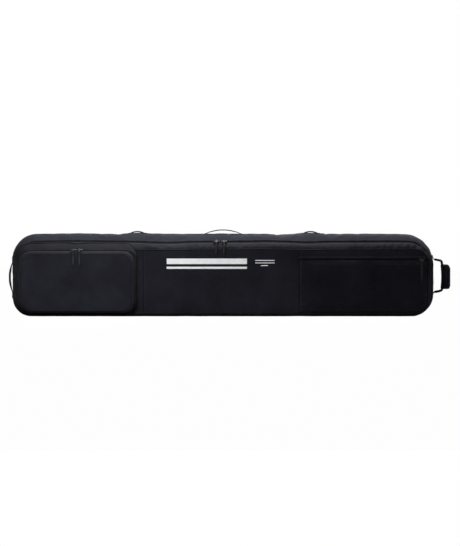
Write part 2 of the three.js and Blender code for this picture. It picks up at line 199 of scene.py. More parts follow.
def crossing(tree, pitch):
    """Crossing threads at a spacing: -1 to 1."""
    turn = 2 * math.pi / pitch
    angles = [maths(tree, "MULTIPLY", axis, turn) for axis in weave_coordinates(tree)]
    return maths(tree, "MULTIPLY", *[maths(tree, "SINE", angle) for angle in angles])


def woven(name, colour, pitch=0.0009, roughness=0.82, sheen=0.02, contrast=0.30, ribs=0.0):
    """Plain-woven cloth: crossing threads, a faint mottle, fine specks, painted shade between the threads
    with painted light on their raised tops, and worn rims.
    ribs, when given, is the spacing of a heavier grid of threads."""
    material, tree, shader = new_material(name, roughness, sheen=sheen, specular=0.06)
    threads = maths(tree, "MULTIPLY_ADD", crossing(tree, pitch), 0.5)
    threads.node.inputs[2].default_value = 0.5
    height = threads
    if ribs:
        lines = [maths(tree, "PINGPONG", axis, ribs / 2) for axis in weave_coordinates(tree)]
        grid = maths(tree, "LESS_THAN", maths(tree, "MINIMUM", *lines), ribs * 0.07)
        height = maths(tree, "ADD", threads, grid)
    mottle = noise_value(tree, 9.0, 5.0)
    fine = noise_value(tree, 240.0, 2.0)
    dark = tuple(c * (1 - contrast) for c in colour)
    light = tuple(c * (1 + contrast) for c in colour)
    base = ramp(tree, mottle, [(0.3, dark), (0.7, light)])
    speck = ramp(tree, fine, [(0.45, (0.8, 0.8, 0.8)), (0.75, (1.25, 1.25, 1.28))])
    shaded = mixed(tree, 0.5, base, speck, "MULTIPLY")
    # Painted shade and light of the weave: darker where the threads dip, lighter on their raised tops.
    weave_painted_shade = ramp(tree, threads, [(0.2, (0.7, 0.7, 0.7)), (0.8, (1.2, 1.2, 1.2))])
    shaded = mixed(tree, 0.6, shaded, weave_painted_shade, "MULTIPLY")
    rim = node(tree, "Attribute", attribute_name="rim")
    worn = maths(tree, "MULTIPLY", rim.outputs["Fac"], noise_value(tree, 60.0, 4.0))
    edge = tuple(min(1.0, c * 1.5 + 0.004) for c in colour)
    final = mixed(tree, maths(tree, "MULTIPLY", worn, 0.4), shaded, edge)
    tree.links.new(final, shader.inputs["Base Color"])
    bump(tree, shader, height, 0.45, 0.0004)
    return material


def ribbed(name, colour, pitch=0.0016, roughness=0.7, sheen=0.06):
    """Narrow webbing: ribs in a herringbone across its width."""
    material, tree, shader = new_material(name, roughness, sheen=sheen, specular=0.2)
    along, across = weave_coordinates(tree)
    fold = maths(tree, "PINGPONG", across, 0.004)
    slant = maths(tree, "ADD", along, fold)
    ribs = maths(tree, "SINE", maths(tree, "MULTIPLY", slant, 2 * math.pi / pitch))
    dark, light = (tuple(c * share for c in colour) for share in (0.55, 1.5))
    tone = ramp(tree, ribs, [(0.1, dark), (0.9, light)])
    shade = ramp(tree, noise_value(tree, 90.0, 3.0), [(0.3, (0.75,) * 3), (0.7, (1.2,) * 3)])
    tree.links.new(mixed(tree, 0.7, tone, shade, "MULTIPLY"), shader.inputs["Base Color"])
    bump(tree, shader, ribs, 0.5, 0.0005)
    return material


def moulded(name, colour, roughness=0.5, metallic=0.0, grain=700.0, wear=0.25, specular=0.5):
    """Moulded or lacquered hardware: fine grain, and duller, lighter patches from handling."""
    material, tree, shader = new_material(name, roughness, metallic, specular=specular)
    scuffs = noise_value(tree, 130.0, 6.0, 0.65)
    light = tuple(min(1.0, c * (1 + wear * 3) + 0.01) for c in colour)
    tree.links.new(ramp(tree, scuffs, [(0.4, colour), (0.85, light)]), shader.inputs["Base Color"])
    gloss = maths(tree, "MULTIPLY_ADD", scuffs, 0.25)
    gloss.node.inputs[2].default_value = roughness - 0.1
    tree.links.new(gloss, shader.inputs["Roughness"])
    bump(tree, shader, noise_value(tree, grain, 2.0), 0.35, 0.00008)
    return material


def printed(name, colour):
    """Screen-printed ink: the cloth's threads show through it."""
    material, tree, shader = new_material(name, 0.55)
    threads = crossing(tree, 0.0009)
    faded = tuple(c * 0.86 for c in colour)
    patch = ramp(tree, noise_value(tree, 45.0, 4.0), [(0.3, faded), (0.7, colour)])
    tone = ramp(tree, threads, [(0.0, (0.88,) * 3), (1.0, (1.0,) * 3)])
    tree.links.new(mixed(tree, 0.6, patch, tone, "MULTIPLY"), shader.inputs["Base Color"])
    bump(tree, shader, threads, 0.3, 0.0002)
    return material


SHELL = woven("shell_cloth", (0.0108, 0.0110, 0.0158))
POCKET_CLOTH = woven("pocket_cloth", (0.0116, 0.0118, 0.0168))
# Painted shade: the pocket's gusset is a darker copy of the pocket cloth, standing in for the shade along its
# sides.
POCKET_GUSSET_PAINTED_SHADE = woven("pocket_gusset_cloth", (0.0062, 0.0063, 0.0090))
SLEEVE_CLOTH = woven("sleeve_cloth", (0.0080, 0.0081, 0.0118))
BASE = woven("base_cloth", (0.0055, 0.0055, 0.0080), pitch=0.0013, roughness=0.6, sheen=0.05)
BINDING = woven("binding", (0.0035, 0.0035, 0.0050), pitch=0.0007, roughness=0.75, sheen=0.1)
# Zip tape: black, and darker still as painted shade of the recess the zip lies in.
ZIP_TAPE_WITH_RECESS_SHADE = woven("zip_tape", (0.0024, 0.0024, 0.0034), pitch=0.0006, roughness=0.75, sheen=0.05)
LINING = woven("lining", (0.050, 0.052, 0.059), pitch=0.0007, roughness=0.7, sheen=0.10, contrast=0.10,
               ribs=0.006)
WEBBING = ribbed("webbing", (0.0050, 0.0051, 0.0068))
CORD = ribbed("pull_cord", (0.0080, 0.0080, 0.0095), pitch=0.0011)
THREAD = moulded("thread", (0.013, 0.013, 0.017), roughness=0.6, grain=2500.0)
# Zip coil: black, and darker still as painted shade of the recess the zip lies in.
ZIP_COIL_WITH_RECESS_SHADE = moulded("zip_coil", (0.0022, 0.0022, 0.0028), roughness=0.7, wear=0.10, specular=0.08)
METAL = moulded("slider_metal", (0.005, 0.005, 0.006), roughness=0.45, metallic=0.1, specular=0.25)
BRIGHT = moulded("ring_metal", (0.040, 0.041, 0.046), roughness=0.34, metallic=0.85)
RUBBER = moulded("pull_rubber", (0.0065, 0.0068, 0.0090), roughness=0.45, specular=0.15)
BUCKLE = moulded("buckle_plastic", (0.018, 0.018, 0.021), roughness=0.42)
INK = printed("printed_ink", (0.80, 0.81, 0.82))


# ---- Meshes --------------------------------------------------------------------------
def link(name, mesh, *materials):
    """A mesh put in the scene as a piece."""
    made = bpy.data.objects.new(name, mesh)
    bpy.context.scene.collection.objects.link(made)
    for material in materials:
        mesh.materials.append(material)
    return made


def build(name, points, faces, uvs=None, materials=(), smooth=True, rim=None):
    """A mesh from points, faces and, where its weave matters, one (u, v) for each corner of each
    face. rim is how worn each point is, 0 to 1."""
    mesh = bpy.data.meshes.new(name)
    mesh.from_pydata([tuple(p) for p in points], [], [list(map(int, f)) for f in faces])
    layer = mesh.uv_layers.new(name="weave")
    if uvs is not None:
        layer.data.foreach_set("uv", np.asarray(uvs, np.float32).ravel())
    worn = mesh.attributes.new("rim", "FLOAT", "POINT")
    worn.data.foreach_set("value", np.asarray(np.zeros(len(points)) if rim is None else rim, np.float32))
    mesh.polygons.foreach_set("use_smooth", [smooth] * len(mesh.polygons))
    mesh.update()
    return link(name, mesh, *materials)


def lengths(points):
    """Distance along a line of points, from 0."""
    return np.concatenate([[0], np.cumsum(np.linalg.norm(np.diff(points, axis=0), axis=1))])


def grid(name, P, *materials, around=False, caps=False, planar=None, worn=3):
    """A surface through rows and columns of points. around joins the last column to the first,
    caps closes the first and last rows. planar names two axes that the weave follows. worn is how
    many rows in from its ends it is worn, and columns too if it is planar."""
    rows, cols = P.shape[:2]
    points = P.reshape(-1, 3)
    wide = cols if around else cols - 1
    r, c = np.meshgrid(np.arange(rows - 1), np.arange(wide), indexing="ij")
    r, c = r.ravel(), c.ravel()
    n = (c + 1) % cols
    faces = np.stack([r * cols + c, r * cols + n, (r + 1) * cols + n, (r + 1) * cols + c], 1)
    middle = P[rows // 2]
    ring = np.vstack([middle, middle[:1]]) if around else middle
    u, v = lengths(ring), lengths(P[:, cols // 2])
    if planar is None:
        uvs = np.stack([np.stack([u[c], v[r]], 1), np.stack([u[c + 1], v[r]], 1),
                        np.stack([u[c + 1], v[r + 1]], 1), np.stack([u[c], v[r + 1]], 1)], 1)
    else:
        uvs = points[faces][:, :, list(planar)]
    faces, uvs = [list(f) for f in faces], list(uvs.reshape(-1, 2))
    if caps:
        for row, order in ((0, 1), (rows - 1, -1)):
            loop = list(range(row * cols, (row + 1) * cols))[::-order]
            faces.append(loop)
            uvs.extend([(0.0, 0.0)] * len(loop))
    if around:
        rim = np.zeros(rows * cols)
    else:
        rows_in, cols_in = (np.minimum(np.arange(n), np.arange(n)[::-1]) for n in (rows, cols))
        if not planar:
            cols_in = np.full(cols, rows)
        edge = np.minimum(rows_in[:, None], cols_in[None, :])
        rim = np.clip(1 - edge / worn, 0, 1).ravel()
    return build(name, points, faces, uvs, materials, rim=rim)


def thicken(piece, thickness, inner=None):
    """Gives a cloth surface its thickness, inward, with an inner face of another material if one is
    named."""
    made = piece.modifiers.new("thickness", "SOLIDIFY")
    made.thickness = thickness
    made.offset = -1.0
    made.use_even_offset = False
    if inner is not None:
        piece.data.materials.append(inner)
        made.material_offset = len(piece.data.materials) - 1


def joined(name, parts):
    """One piece out of several, each keeping its materials."""
    bpy.ops.object.select_all(action="DESELECT")
    for part in parts:
        part.select_set(True)
    bpy.context.view_layer.objects.active = parts[0]
    bpy.ops.object.join()
    made = parts[0]
    made.name = made.data.name = name
    made.select_set(False)
    return made


def merge(piece, distance=2e-5):
    """Joins points of a piece that lie together."""
    made = bmesh.new()
    made.from_mesh(piece.data)
    bmesh.ops.remove_doubles(made, verts=made.verts, dist=distance)
    bmesh.ops.recalc_face_normals(made, faces=made.faces)
    made.to_mesh(piece.data)
    made.free()


def unit(v):
    """Vectors at length 1."""
    v = np.asarray(v, float)
    return v / np.maximum(np.linalg.norm(v, axis=-1, keepdims=True), 1e-12)


def tangents(path):
    """Directions along a path."""
    return unit(np.gradient(np.asarray(path, float), axis=0))


def carried(path, start):
    """Directions square to a path, carried along it without twist, from a starting direction."""
    along = tangents(path)
    made = []
    side = np.asarray(start, float)
    for t in along:
        side = unit(side - (side @ t) * t)
        made.append(side)
    return np.array(made)


def swept(name, path, profile, side, *materials, taper=0):
    """A closed profile swept along a path, the same all along or one for each point. side is the
    direction of the profile's first axis. taper rounds the two ends over that many extra rings."""
    path, side = np.asarray(path, float), np.broadcast_to(side, np.shape(path)).astype(float)
    along = tangents(path)
    side = unit(side - np.sum(side * along, 1)[:, None] * along)
    up = np.cross(along, side)
    profile = np.asarray(profile, float)
    profile = np.broadcast_to(profile, (len(path),) + profile.shape[-2:])
    scale = np.ones(len(path))
    if taper:
        reach = np.abs(profile).max() * 0.8
        profile = np.concatenate([profile[:1]] * taper + [profile] + [profile[-1:]] * taper)
        grow = np.sin(np.linspace(0.15, 1, taper) * math.pi / 2)
        push = reach * (1 - np.cos(np.linspace(0.15, 1, taper) * math.pi / 2))[::-1]
        head = [path[0] - along[0] * p for p in push]
        tail = [path[-1] + along[-1] * p for p in push[::-1]]
        path = np.vstack([head, path, tail])
        side = np.vstack([[side[0]] * taper, side, [side[-1]] * taper])
        up = np.vstack([[up[0]] * taper, up, [up[-1]] * taper])
        scale = np.concatenate([grow, scale, grow[::-1]])
    section = profile[..., :1] * side[:, None] + profile[..., 1:] * up[:, None]
    return grid(name, path[:, None] + scale[:, None, None] * section, *materials, around=True, caps=True)


def circle(radius, sides=10):
    """Profile of a round cord."""
    turn = np.arange(sides) * 2 * math.pi / sides
    return radius * np.stack([np.cos(turn), np.sin(turn)], 1)


def band(width, thickness):
    """Profile of flat webbing with rounded, slightly thicker edges."""
    w, t = width / 2, thickness / 2
    right = [(w - t * 1.6, -t), (w - t * 0.5, -t * 0.95), (w, -t * 0.3), (w, t * 0.3),
             (w - t * 0.5, t * 0.95), (w - t * 1.6, t)]
    inner = [(w * 0.5, t * 0.86), (0, t * 0.8), (-w * 0.5, t * 0.86)]
    return right + inner + [(-x, -z) for x, z in right] + [(-x, -z) for x, z in inner]


def between(a, b, c, d, f):
    """The point a share f of the way from b to c on a smooth curve through all four."""
    return 0.5 * (2 * b + (c - a) * f + (2 * a - 5 * b + 4 * c - d) * f**2 + (3 * b - a - 3 * c + d) * f**3)


def straight(x, y, z):
    """A line of points from coordinates, each a number or one for each point."""
    return np.stack(np.broadcast_arrays(x, y, z), 1).astype(float)


def smooth_path(points, count):
    """A smooth line through given points."""
    points = np.asarray(points, float)
    at = lengths(points)
    padded = np.vstack([2 * points[0] - points[1], points, 2 * points[-1] - points[-2]])
    out = []
    for s in np.linspace(0, at[-1], count):
        i = min(np.searchsorted(at, s, "right") - 1, len(points) - 2)
        f = (s - at[i]) / (at[i + 1] - at[i])
        a, b, c, d = padded[i:i + 4]
        out.append(between(a, b, c, d, f))
    return np.array(out)


def copies(name, template, faces, origins, axes, material, smooth=False):
    """Many copies of a small shape in one piece, each in its own three axes."""
    template = np.asarray(template, float)
    axes = np.stack(axes, 1)
    points = (origins[:, None] + np.einsum("pk,nkd->npd", template, axes)).reshape(-1, 3)
    count = len(template)
    all_faces = [[v + i * count for v in f] for i in range(len(origins)) for f in faces]
    return build(name, points, all_faces, materials=[material], smooth=smooth)


def sampled(where, at, values):
    """Vectors known at distances along a line, at other distances along it."""
    return np.stack([np.interp(where, at, np.asarray(values)[:, k]) for k in range(3)], 1)


BOX_FACES = [(0, 3, 2, 1), (4, 5, 6, 7), (0, 1, 5, 4), (1, 2, 6, 5), (2, 3, 7, 6), (3, 0, 4, 7)]


def stitches(name, path, normals, pitch=0.0042, length=0.0030, radius=0.00042, lift=0.0001):
    """A row of thread stitches lying on a surface."""
    path = np.asarray(path, float)
    at = lengths(path)
    count = max(2, int(at[-1] / pitch))
    where = (np.arange(count) + 0.5) * at[-1] / count
    normal = unit(sampled(where, at, normals))
    along = unit(sampled(where, at, tangents(path)))
    axes = (along, unit(np.cross(along, normal)), normal)
    half = length / 2
    shape = [(-half, 0, -radius * 0.4), (half, 0, -radius * 0.4)]
    shape[1:1] = [(x, y, z) for x in (-half * 0.6, half * 0.6)
                  for y, z in ((radius, 0.2 * radius), (0, radius), (-radius, 0.2 * radius))]
    faces = [(0, 2, 1), (0, 3, 2), (1, 2, 5, 4), (2, 3, 6, 5), (4, 5, 7), (5, 6, 7), (0, 1, 4, 7),
             (0, 7, 6, 3)]
    return copies(name, shape, faces, sampled(where, at, path) + normal * lift, axes, THREAD, smooth=True)


def surface_normals(P, outward):
    """Normals of a grid of points, turned to the outward side."""
    du, dv = np.gradient(P, axis=1), np.gradient(P, axis=0)
    normal = unit(np.cross(du, dv))
    if np.sum(normal * outward) < 0:
        normal = -normal
    return normal


# ---- The bag's form ------------------------------------------------------------------
class Form:
    """A closed form through rounded outlines in X and Z at stations along Y. Each station says how
    far the outline is set in at the top, the ends and the bottom, and how far its radii have gone
    from the inner set (0) to the outer set (1)."""

    def __init__(self, box, stations, inner, outer):
        self.box, self.inner, self.outer = box, inner, outer
        self.rows = np.array(stations, float)
        self.rows[:, :4] /= 1000
        x0, x1, z0, z1 = box
        tall, wide = z1 - z0, x1 - x0
        low_left, low_right, top_right, top_left = (radius * 1.5 for radius in outer)
        plan = [wide / 2, low_right, tall, top_right, wide, top_left, tall, low_left, wide / 2]
        self.counts = [max(6, int(length / STEP)) for length in plan]

    def station(self, t):
        """The station at a place between the listed ones, on a smooth curve."""
        t = np.clip(t, 0, len(self.rows) - 1)
        i = min(int(t), len(self.rows) - 2)
        f = t - i
        a, b, c, d = (self.rows[min(max(i + k, 0), len(self.rows) - 1)] for k in (-1, 0, 1, 2))
        out = between(a, b, c, d, f)
        out[4] = np.clip(out[4], 0, 1)
        return out

    def at_y(self, y):
        """Where along the stations the form is at this depth."""
        ts = np.linspace(0, len(self.rows) - 1, 400)
        ys = np.array([self.station(t)[0] for t in ts])
        order = np.argsort(ys)
        return float(np.interp(y, ys[order], ts[order]))

    def outline(self, t, loop):
        """Points of one outline at places along it: the whole number of a place is its stretch, from
        the middle of the bottom round to the right, up, and back, and the rest is how far along."""
        y, top, end, bottom, part = self.station(t)
        x0, x1, z0, z1 = self.box
        x0, x1, z0, z1 = x0 + end, x1 - end, z0 + bottom, z1 - top
        bl, br, tr, tl = (a + (b - a) * part for a, b in zip(self.inner, self.outer))
        middle = (x0 + x1) / 2
        loop = np.asarray(loop, float) % 9
        stretch = np.clip(loop.astype(int), 0, 8)
        f = loop - stretch
        out = np.zeros((len(loop), 3))
        out[:, 1] = y
        lines = {0: ((middle, z0), (x1 - br, z0)), 2: ((x1, z0 + br), (x1, z1 - tr)),
                 4: ((x1 - tr, z1), (x0 + tl, z1)), 6: ((x0, z1 - tl), (x0, z0 + bl)),
                 8: ((x0 + bl, z0), (middle, z0))}
        arcs = {1: (x1 - br, z0 + br, br, -90), 3: (x1 - tr, z1 - tr, tr, 0),
                5: (x0 + tl, z1 - tl, tl, 90), 7: (x0 + bl, z0 + bl, bl, 180)}
        for k, (a, b) in lines.items():
            m = stretch == k
            out[m, 0] = a[0] + (b[0] - a[0]) * f[m]
            out[m, 2] = a[1] + (b[1] - a[1]) * f[m]
        for k, (cx, cz, r, start) in arcs.items():
            m = stretch == k
            turn = np.radians(start + 90 * f[m])
            out[m, 0] = cx + r * np.cos(turn)
            out[m, 2] = cz + r * np.sin(turn)
        return out

    def places(self, start=0.0, end=9.0):
        """Evenly spaced places along the outline between two of them."""
        even = np.concatenate([k + np.arange(n) / n for k, n in enumerate(self.counts)])
        inside = even[(even > start + 0.02) & (even < end - 0.02)]
        return np.concatenate([[start], inside, [end]])

    def skin(self, loop, ts):
        """A grid of the form's skin: a row of places at each station."""
        return np.stack([self.outline(t, loop) for t in ts])

    def depths(self, t0, t1, step=STEP):
        """Stations between two of them, evenly spaced on the skin at the middle of the top."""
        fine = np.linspace(t0, t1, 200)
        line = np.stack([self.outline(t, [4.5])[0] for t in fine])
        at = lengths(line)
        return np.interp(np.linspace(0, at[-1], max(3, int(round(at[-1] / step)) + 1)), at, fine)

    def spaced(self, t, start, end, count):
        """Places from one to another, evenly spaced by length at a station. They may pass 9."""
        fine = np.linspace(start, end, 1500)
        at = lengths(self.outline(t, fine))
        return np.interp(np.linspace(0, at[-1], count), at, fine)

    def sides(self, t):
        """Places along the four sides, corner to corner: bottom, right, top and left, with equal
        numbers on opposite sides."""
        x0, x1, z0, z1 = self.box
        across, up = int((x1 - x0) / STEP) + 1, int((z1 - z0) / STEP) + 1
        bottom, right = self.spaced(t, 7.5, 10.5, across), self.spaced(t, 1.5, 3.5, up)
        top, left = self.spaced(t, 3.5, 5.5, across), self.spaced(t, 5.5, 7.5, up)
        return bottom, right, top, left

    def round_trip(self, t):
        """The places of sides() in one closed loop."""
        bottom, right, top, left = self.sides(t)
        return np.concatenate([bottom[:-1] % 9, right[:-1], top[:-1], left[:-1], bottom[:1] % 9])

    def face(self, t):
        """A grid that fills an outline, and each point's distance from that outline."""
        bottom, right, top, left = (self.outline(t, places) for places in self.sides(t))
        top, left = top[::-1], left[::-1]
        u = np.linspace(0, 1, len(bottom))[None, :, None]
        v = np.linspace(0, 1, len(right))[:, None, None]
        P = (1 - v) * bottom[None] + v * top[None] + (1 - u) * left[:, None] + u * right[:, None]
        low_corners = (1 - u) * (1 - v) * bottom[0] + u * (1 - v) * bottom[-1]
        P = P - (low_corners + (1 - u) * v * top[0] + u * v * top[-1])
        edge = np.concatenate([bottom, right, top, left])[::2]
        away = np.stack([np.sqrt(((row[:, None] - edge[None]) ** 2).sum(-1)).min(1) for row in P])
        away[0] = away[-1] = away[:, 0] = away[:, -1] = 0
        return P, away


BAG = Form(
    (-HALF, HALF, 0.0, HEIGHT),
    [(-80, 60, 25, 12, 0), (-76, 49, 18, 7, 0.3), (-62, 31, 9, 2, 0.7), (-40, 12, 3, 0, 0.95),
     (-10, 2, 0, 0, 1), (20, 0, 0, 0, 1), (50, 8, 6, 0, 0.9), (70, 28, 20, 6, 0.5), (80, 50, 38, 16, 0)],
    mm(52, 58, 48, 48),
    mm(74, 88, 120, 100),
)
FRONT, REAR = 0, 8  # first and last station
LOW_TURN = 0.30  # how far round the bottom corners the zip comes down
ZIP_START, ZIP_END = 1 + LOW_TURN, 8 - LOW_TURN

# Soft rises and dips of the cloth, as (middle, half width, height) along X.
ZIP_WAVES = [(-0.600, 0.130, 0.003), (-0.230, 0.090, -0.004), (0.170, 0.070, 0.002),
             (0.340, 0.060, -0.0030), (0.680, 0.110, 0.0012)]
TOP_WAVES = [(-0.340, 0.055, 0.004), (0.352, 0.055, 0.004), (0.235, 0.045, -0.003), (-0.60, 0.12, 0.001)]


def above(values, start, over):
    """0 up to a value, 1 from over past it."""
    return np.clip((values - start) / over, 0, 1)


def below(values, end, over):
    """1 up to over before a value, 0 from it on."""
    return np.clip((end - values) / over, 0, 1)


def hump(values, middle, width):
    """A soft rise to 1 at a value."""
    return np.exp(-(((values - middle) / width) ** 2))


def waves(x, which):
    """Height of listed waves along X."""
    return sum(height * hump(x, middle, width) for middle, width, height in which)


def settle(P):
    """Moves points of the bag's skin by the soft waves of its upper edge."""
    P = P.copy()
    x, y, z = P[..., 0], P[..., 1], P[..., 2]
    high = above(z, 0.20, 0.08)
    high = high * high * (3 - 2 * high)
    near_zip = hump(y, ZIP_Y, 0.028)
    near_top = above(y, -0.055, 0.045) * below(y, 0.080, 0.05)
    P[..., 2] += high * (near_zip * waves(x, ZIP_WAVES) + near_top * (0.0015 + waves(x, TOP_WAVES)))
    return P


def ripple(P, seed, size=0.11):
    """Soft uneven relief of cloth, about -1 to 1, fixed by a seed."""
    rng = np.random.default_rng(seed)
    out = np.zeros(P.shape[:-1])
    for k in range(9):
        direction = unit(rng.normal(size=3) * (1.0, 0.7, 1.0))
        wave = 2 * math.pi / (size * rng.uniform(0.6, 1.8))
        out += np.sin(P @ direction * wave + rng.uniform(0, 6.28)) * rng.uniform(0.4, 1.0)
    return out / 4


def puckers(x, period, seed):
    """Small gathers across a seam: uneven, sharp-crested, 0 to 1."""
    rng = np.random.default_rng(seed)
    phase = np.interp(x, np.linspace(-1, 1, 60), np.cumsum(rng.uniform(0.5, 1.5, 60)) * (2 / 60))
    strength = np.interp(x, np.linspace(-1, 1, 40), rng.uniform(0.0, 1.0, 40) ** 1.6)
    return strength * (0.5 + 0.5 * np.cos(2 * math.pi * phase / period)) ** 2


def relief(P, normals, amount):
    """Moves a grid out along its normals by amount, fading to nothing at its first and last rows."""
    fade = np.sin(math.pi * np.linspace(0, 1, len(P))) ** 0.6
    return P + normals * (amount * fade[:, None])[..., None]


def facing(P, outward):
    """The grid with its columns in the order that turns its faces to the outward side."""
    du, dv = np.gradient(P, axis=1), np.gradient(P, axis=0)
    return P if np.sum(np.cross(du, dv) * outward) > 0 else P[:, ::-1]


def border(P):
    """Marks the points on the four borders of a grid."""
    held = np.ones(P.shape[:2], bool)
    held[1:-1, 1:-1] = False
    return held


T_ZIP = BAG.at_y(ZIP_Y)
SHELL_SIDE = T_ZIP + 0.17  # stations on each side of the main zip where its cloth edges are folded
LID_SIDE = T_ZIP - 0.17
CENTRE = np.array([0, 0, HEIGHT / 2])
FORWARD = np.array([0, -1, 0])


def from_axis(P, middle=CENTRE):
    """Directions outward to points of a form from the middle of its outline."""
    return P - middle * (1, 0, 1)


def simulated(P, held, outward, grow, pressure, cap):
    """Settles a grid of cloth held at some points: it is cut larger than its frame by grow, pushed
    outward by a light pressure, and no point ends further than cap from where it started."""
    P = facing(P, outward)
    piece = grid("settling", P)
    group = piece.vertex_groups.new(name="held")
    group.add([int(i) for i in np.flatnonzero(held.ravel())], 1.0, "REPLACE")
    made = piece.modifiers.new("cloth", "CLOTH")
    rules = made.settings
    rules.quality, rules.mass, rules.vertex_group_mass = 4, 0.15, "held"
    rules.tension_stiffness = rules.compression_stiffness = 12
    rules.shear_stiffness, rules.bending_stiffness = 4, 0.35
    rules.shrink_min = rules.shrink_max = -grow
    rules.use_pressure, rules.uniform_pressure_force = True, pressure
    rules.effector_weights.gravity = 0
    made.collision_settings.use_collision = False
    made.point_cache.frame_start, made.point_cache.frame_end = 1, SETTLE_FRAMES
    scene = bpy.context.scene
    for frame_number in range(1, SETTLE_FRAMES + 1):
        scene.frame_set(frame_number)
    settled = piece.evaluated_get(bpy.context.evaluated_depsgraph_get()).data
    moved = np.zeros(len(settled.vertices) * 3)
    settled.vertices.foreach_get("co", moved)
    scene.frame_set(1)
    bpy.data.objects.remove(piece)
    shift = moved.reshape(P.shape) - P
    size = np.linalg.norm(shift, axis=-1, keepdims=True)
    soft_cap = cap * np.tanh(size / cap)
    return P + shift * soft_cap / np.maximum(size, 1e-9)


def cloth(name, P, outward, body, material, thickness, inner=None, planar=None):
    """A cloth piece from a grid, faced outward, with thickness inward, riding on a body if one is
    named."""
    piece = grid(name, facing(P, outward), material, planar=planar)
    thicken(piece, thickness, inner=inner)
    if body:
        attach(piece, body)
    return piece


def rode(piece, body):
    """A piece that rides on a body."""
    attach(piece, body)
    return piece


def seam_line(t, loop, push, form=BAG, settled=settle, middle=CENTRE, gap=0.02):
    """Points of a seam at one station, with the skin's outward normals, moved out along them. The
    normals come from the skin a gap of stations to each side."""
    near = settled(np.stack([form.outline(t + d, loop) for d in (-gap, 0, gap)]))
    normal = surface_normals(near, from_axis(near[1], middle))[1]
    return near[1] + normal * push, normal


# ---- Shell: gusset, bottom, back ------------------------------------------------------
loop = BAG.places(1.0, 8.0)
ts = BAG.depths(SHELL_SIDE, 7.93)
P = settle(BAG.skin(loop, ts))
out = from_axis(P)
N = surface_normals(P, out)
P = relief(P, N, 0.0007 * ripple(P, 3, 0.16) + 0.0008 * ripple(P, 4, 0.05))
tight = puckers(P[..., 0], 0.032, 11) * np.clip(1 - (P[..., 1] + 0.060) / 0.03, 0, 1)
P = P + N * (0.0016 * tight)[..., None]
P = simulated(P, border(P), out, 0.004, 0.4, 0.0013)
P[..., 2] = np.maximum(P[..., 2], 0.0)  # nothing goes below the floor
out = from_axis(P)
gusset = cloth("rear_gusset_cloth", P, out, "shell", SHELL, SHELL_THICK, inner=LINING)
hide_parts("rear_gusset_left", "rear_gusset_right", "rear_gusset_top")

loop = np.concatenate([BAG.places(8.0, 9.0)[:-1], BAG.places(0.0, 1.0)])
loop[loop >= 9.0] = 0.0
P = BAG.skin(loop, BAG.depths(0.02, 7.93, 0.008))
out = from_axis(P)
P = relief(P, surface_normals(P, out), 0.0006 * ripple(P, 5, 0.08))
P[..., 2] = np.maximum(P[..., 2], 0.0)  # it rests flat on the floor
bottom = cloth("bottom_cloth", P, out, "shell", BASE, SHELL_THICK, inner=LINING)
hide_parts("bottom_panel")


def limited(y, wall, most):
    """Depths that come out softly no further than most in front of a wall."""
    out_by = wall - y
    return wall - np.where(out_by > 0, most * np.tanh(out_by / most), out_by)


def face_grid(t, outward, crown, wave, gathers, seed):
    """A crowned, wavy panel that fills one of the bag's outlines, gathered along its seam."""
    P, away = BAG.face(t)
    P = settle(P)
    rise = crown * (1 - np.exp(-away / 0.03))
    soft = wave * ripple(P, seed, 0.22) + wave * 0.45 * ripple(P, seed + 1, 0.07)
    soft = soft * above(away, 0, 0.03)
    gather = gathers * puckers(P[..., 0] + 0.4 * P[..., 2], 0.030, seed + 2)
    gather = gather * np.exp(-away / 0.018) * above(away, 0, 0.010)
    P[..., 1] += outward * (rise + soft + gather)
    return P, away


P, _ = face_grid(REAR, 1, crown=0.002, wave=0.0016, gathers=0.0012, seed=21)
P[..., 1] = np.minimum(P[..., 1], BACK_Y + 0.004)
back = cloth("back_panel_cloth", P, -FORWARD, "shell", SHELL, CLOTH_THICK, planar=(0, 2))
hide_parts("back_panel")

# ---- Lid: front panel, band, folded corners -------------------------------------------
front_grid, away = face_grid(FRONT, -1, crown=0.0030, wave=0.0036, gathers=0.0030, seed=31)
x, z = front_grid[..., 0], front_grid[..., 2]
# Slanted dips, as depth, a point in X and Z, direction across, half width, and the height and run
# over which it fades in: two left of the middle under the zip, and one by the pocket.
DIPS = [(0.0035, -0.125, 0.25, 0.94, 0.35, 0.018, 0.18, 0.07),
        (0.0030, -0.055, 0.25, 0.9, 0.5, 0.020, 0.19, 0.07),
        (0.0026, -0.30, 0.22, 0.7, 0.7, 0.016, 0.14, 0.08)]
fold = sum(depth * hump((x - x0) * a + (z - z0) * b, 0, width) * above(z, low, over)
           for depth, x0, z0, a, b, width, low, over in DIPS)
pleats = puckers(x + 0.15 * (0.27 - z), 0.030, 44) * above(x, 0.40, 0.05) * below(x, 0.74, 0.05)
fold += 0.0100 * pleats * above(z, 0.225, 0.03)
fold += 0.0022 * (puckers(x - 0.5 * z, 0.045, 45) * above(x, 0.25, 0.1) * below(z, 0.055, 0.03))
front_grid[..., 1] += fold * above(away, 0, 0.012)
front_grid = simulated(front_grid, away < 0.004, FORWARD, 0.010, 0.4, 0.0045)
x, z = front_grid[..., 0], front_grid[..., 2]
by_zip = above(z, 0.20, 0.03)
under_pulls = hump(x, -0.010, 0.045) * by_zip
most = 0.0046 - 0.0022 * by_zip - 0.0012 * under_pulls
front_grid[..., 1] = limited(front_grid[..., 1], FRONT_Y, most)
front = cloth("front_panel_cloth", front_grid, FORWARD, "lid", SHELL, CLOTH_THICK,
              inner=LINING, planar=(0, 2))
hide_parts("front_panel")

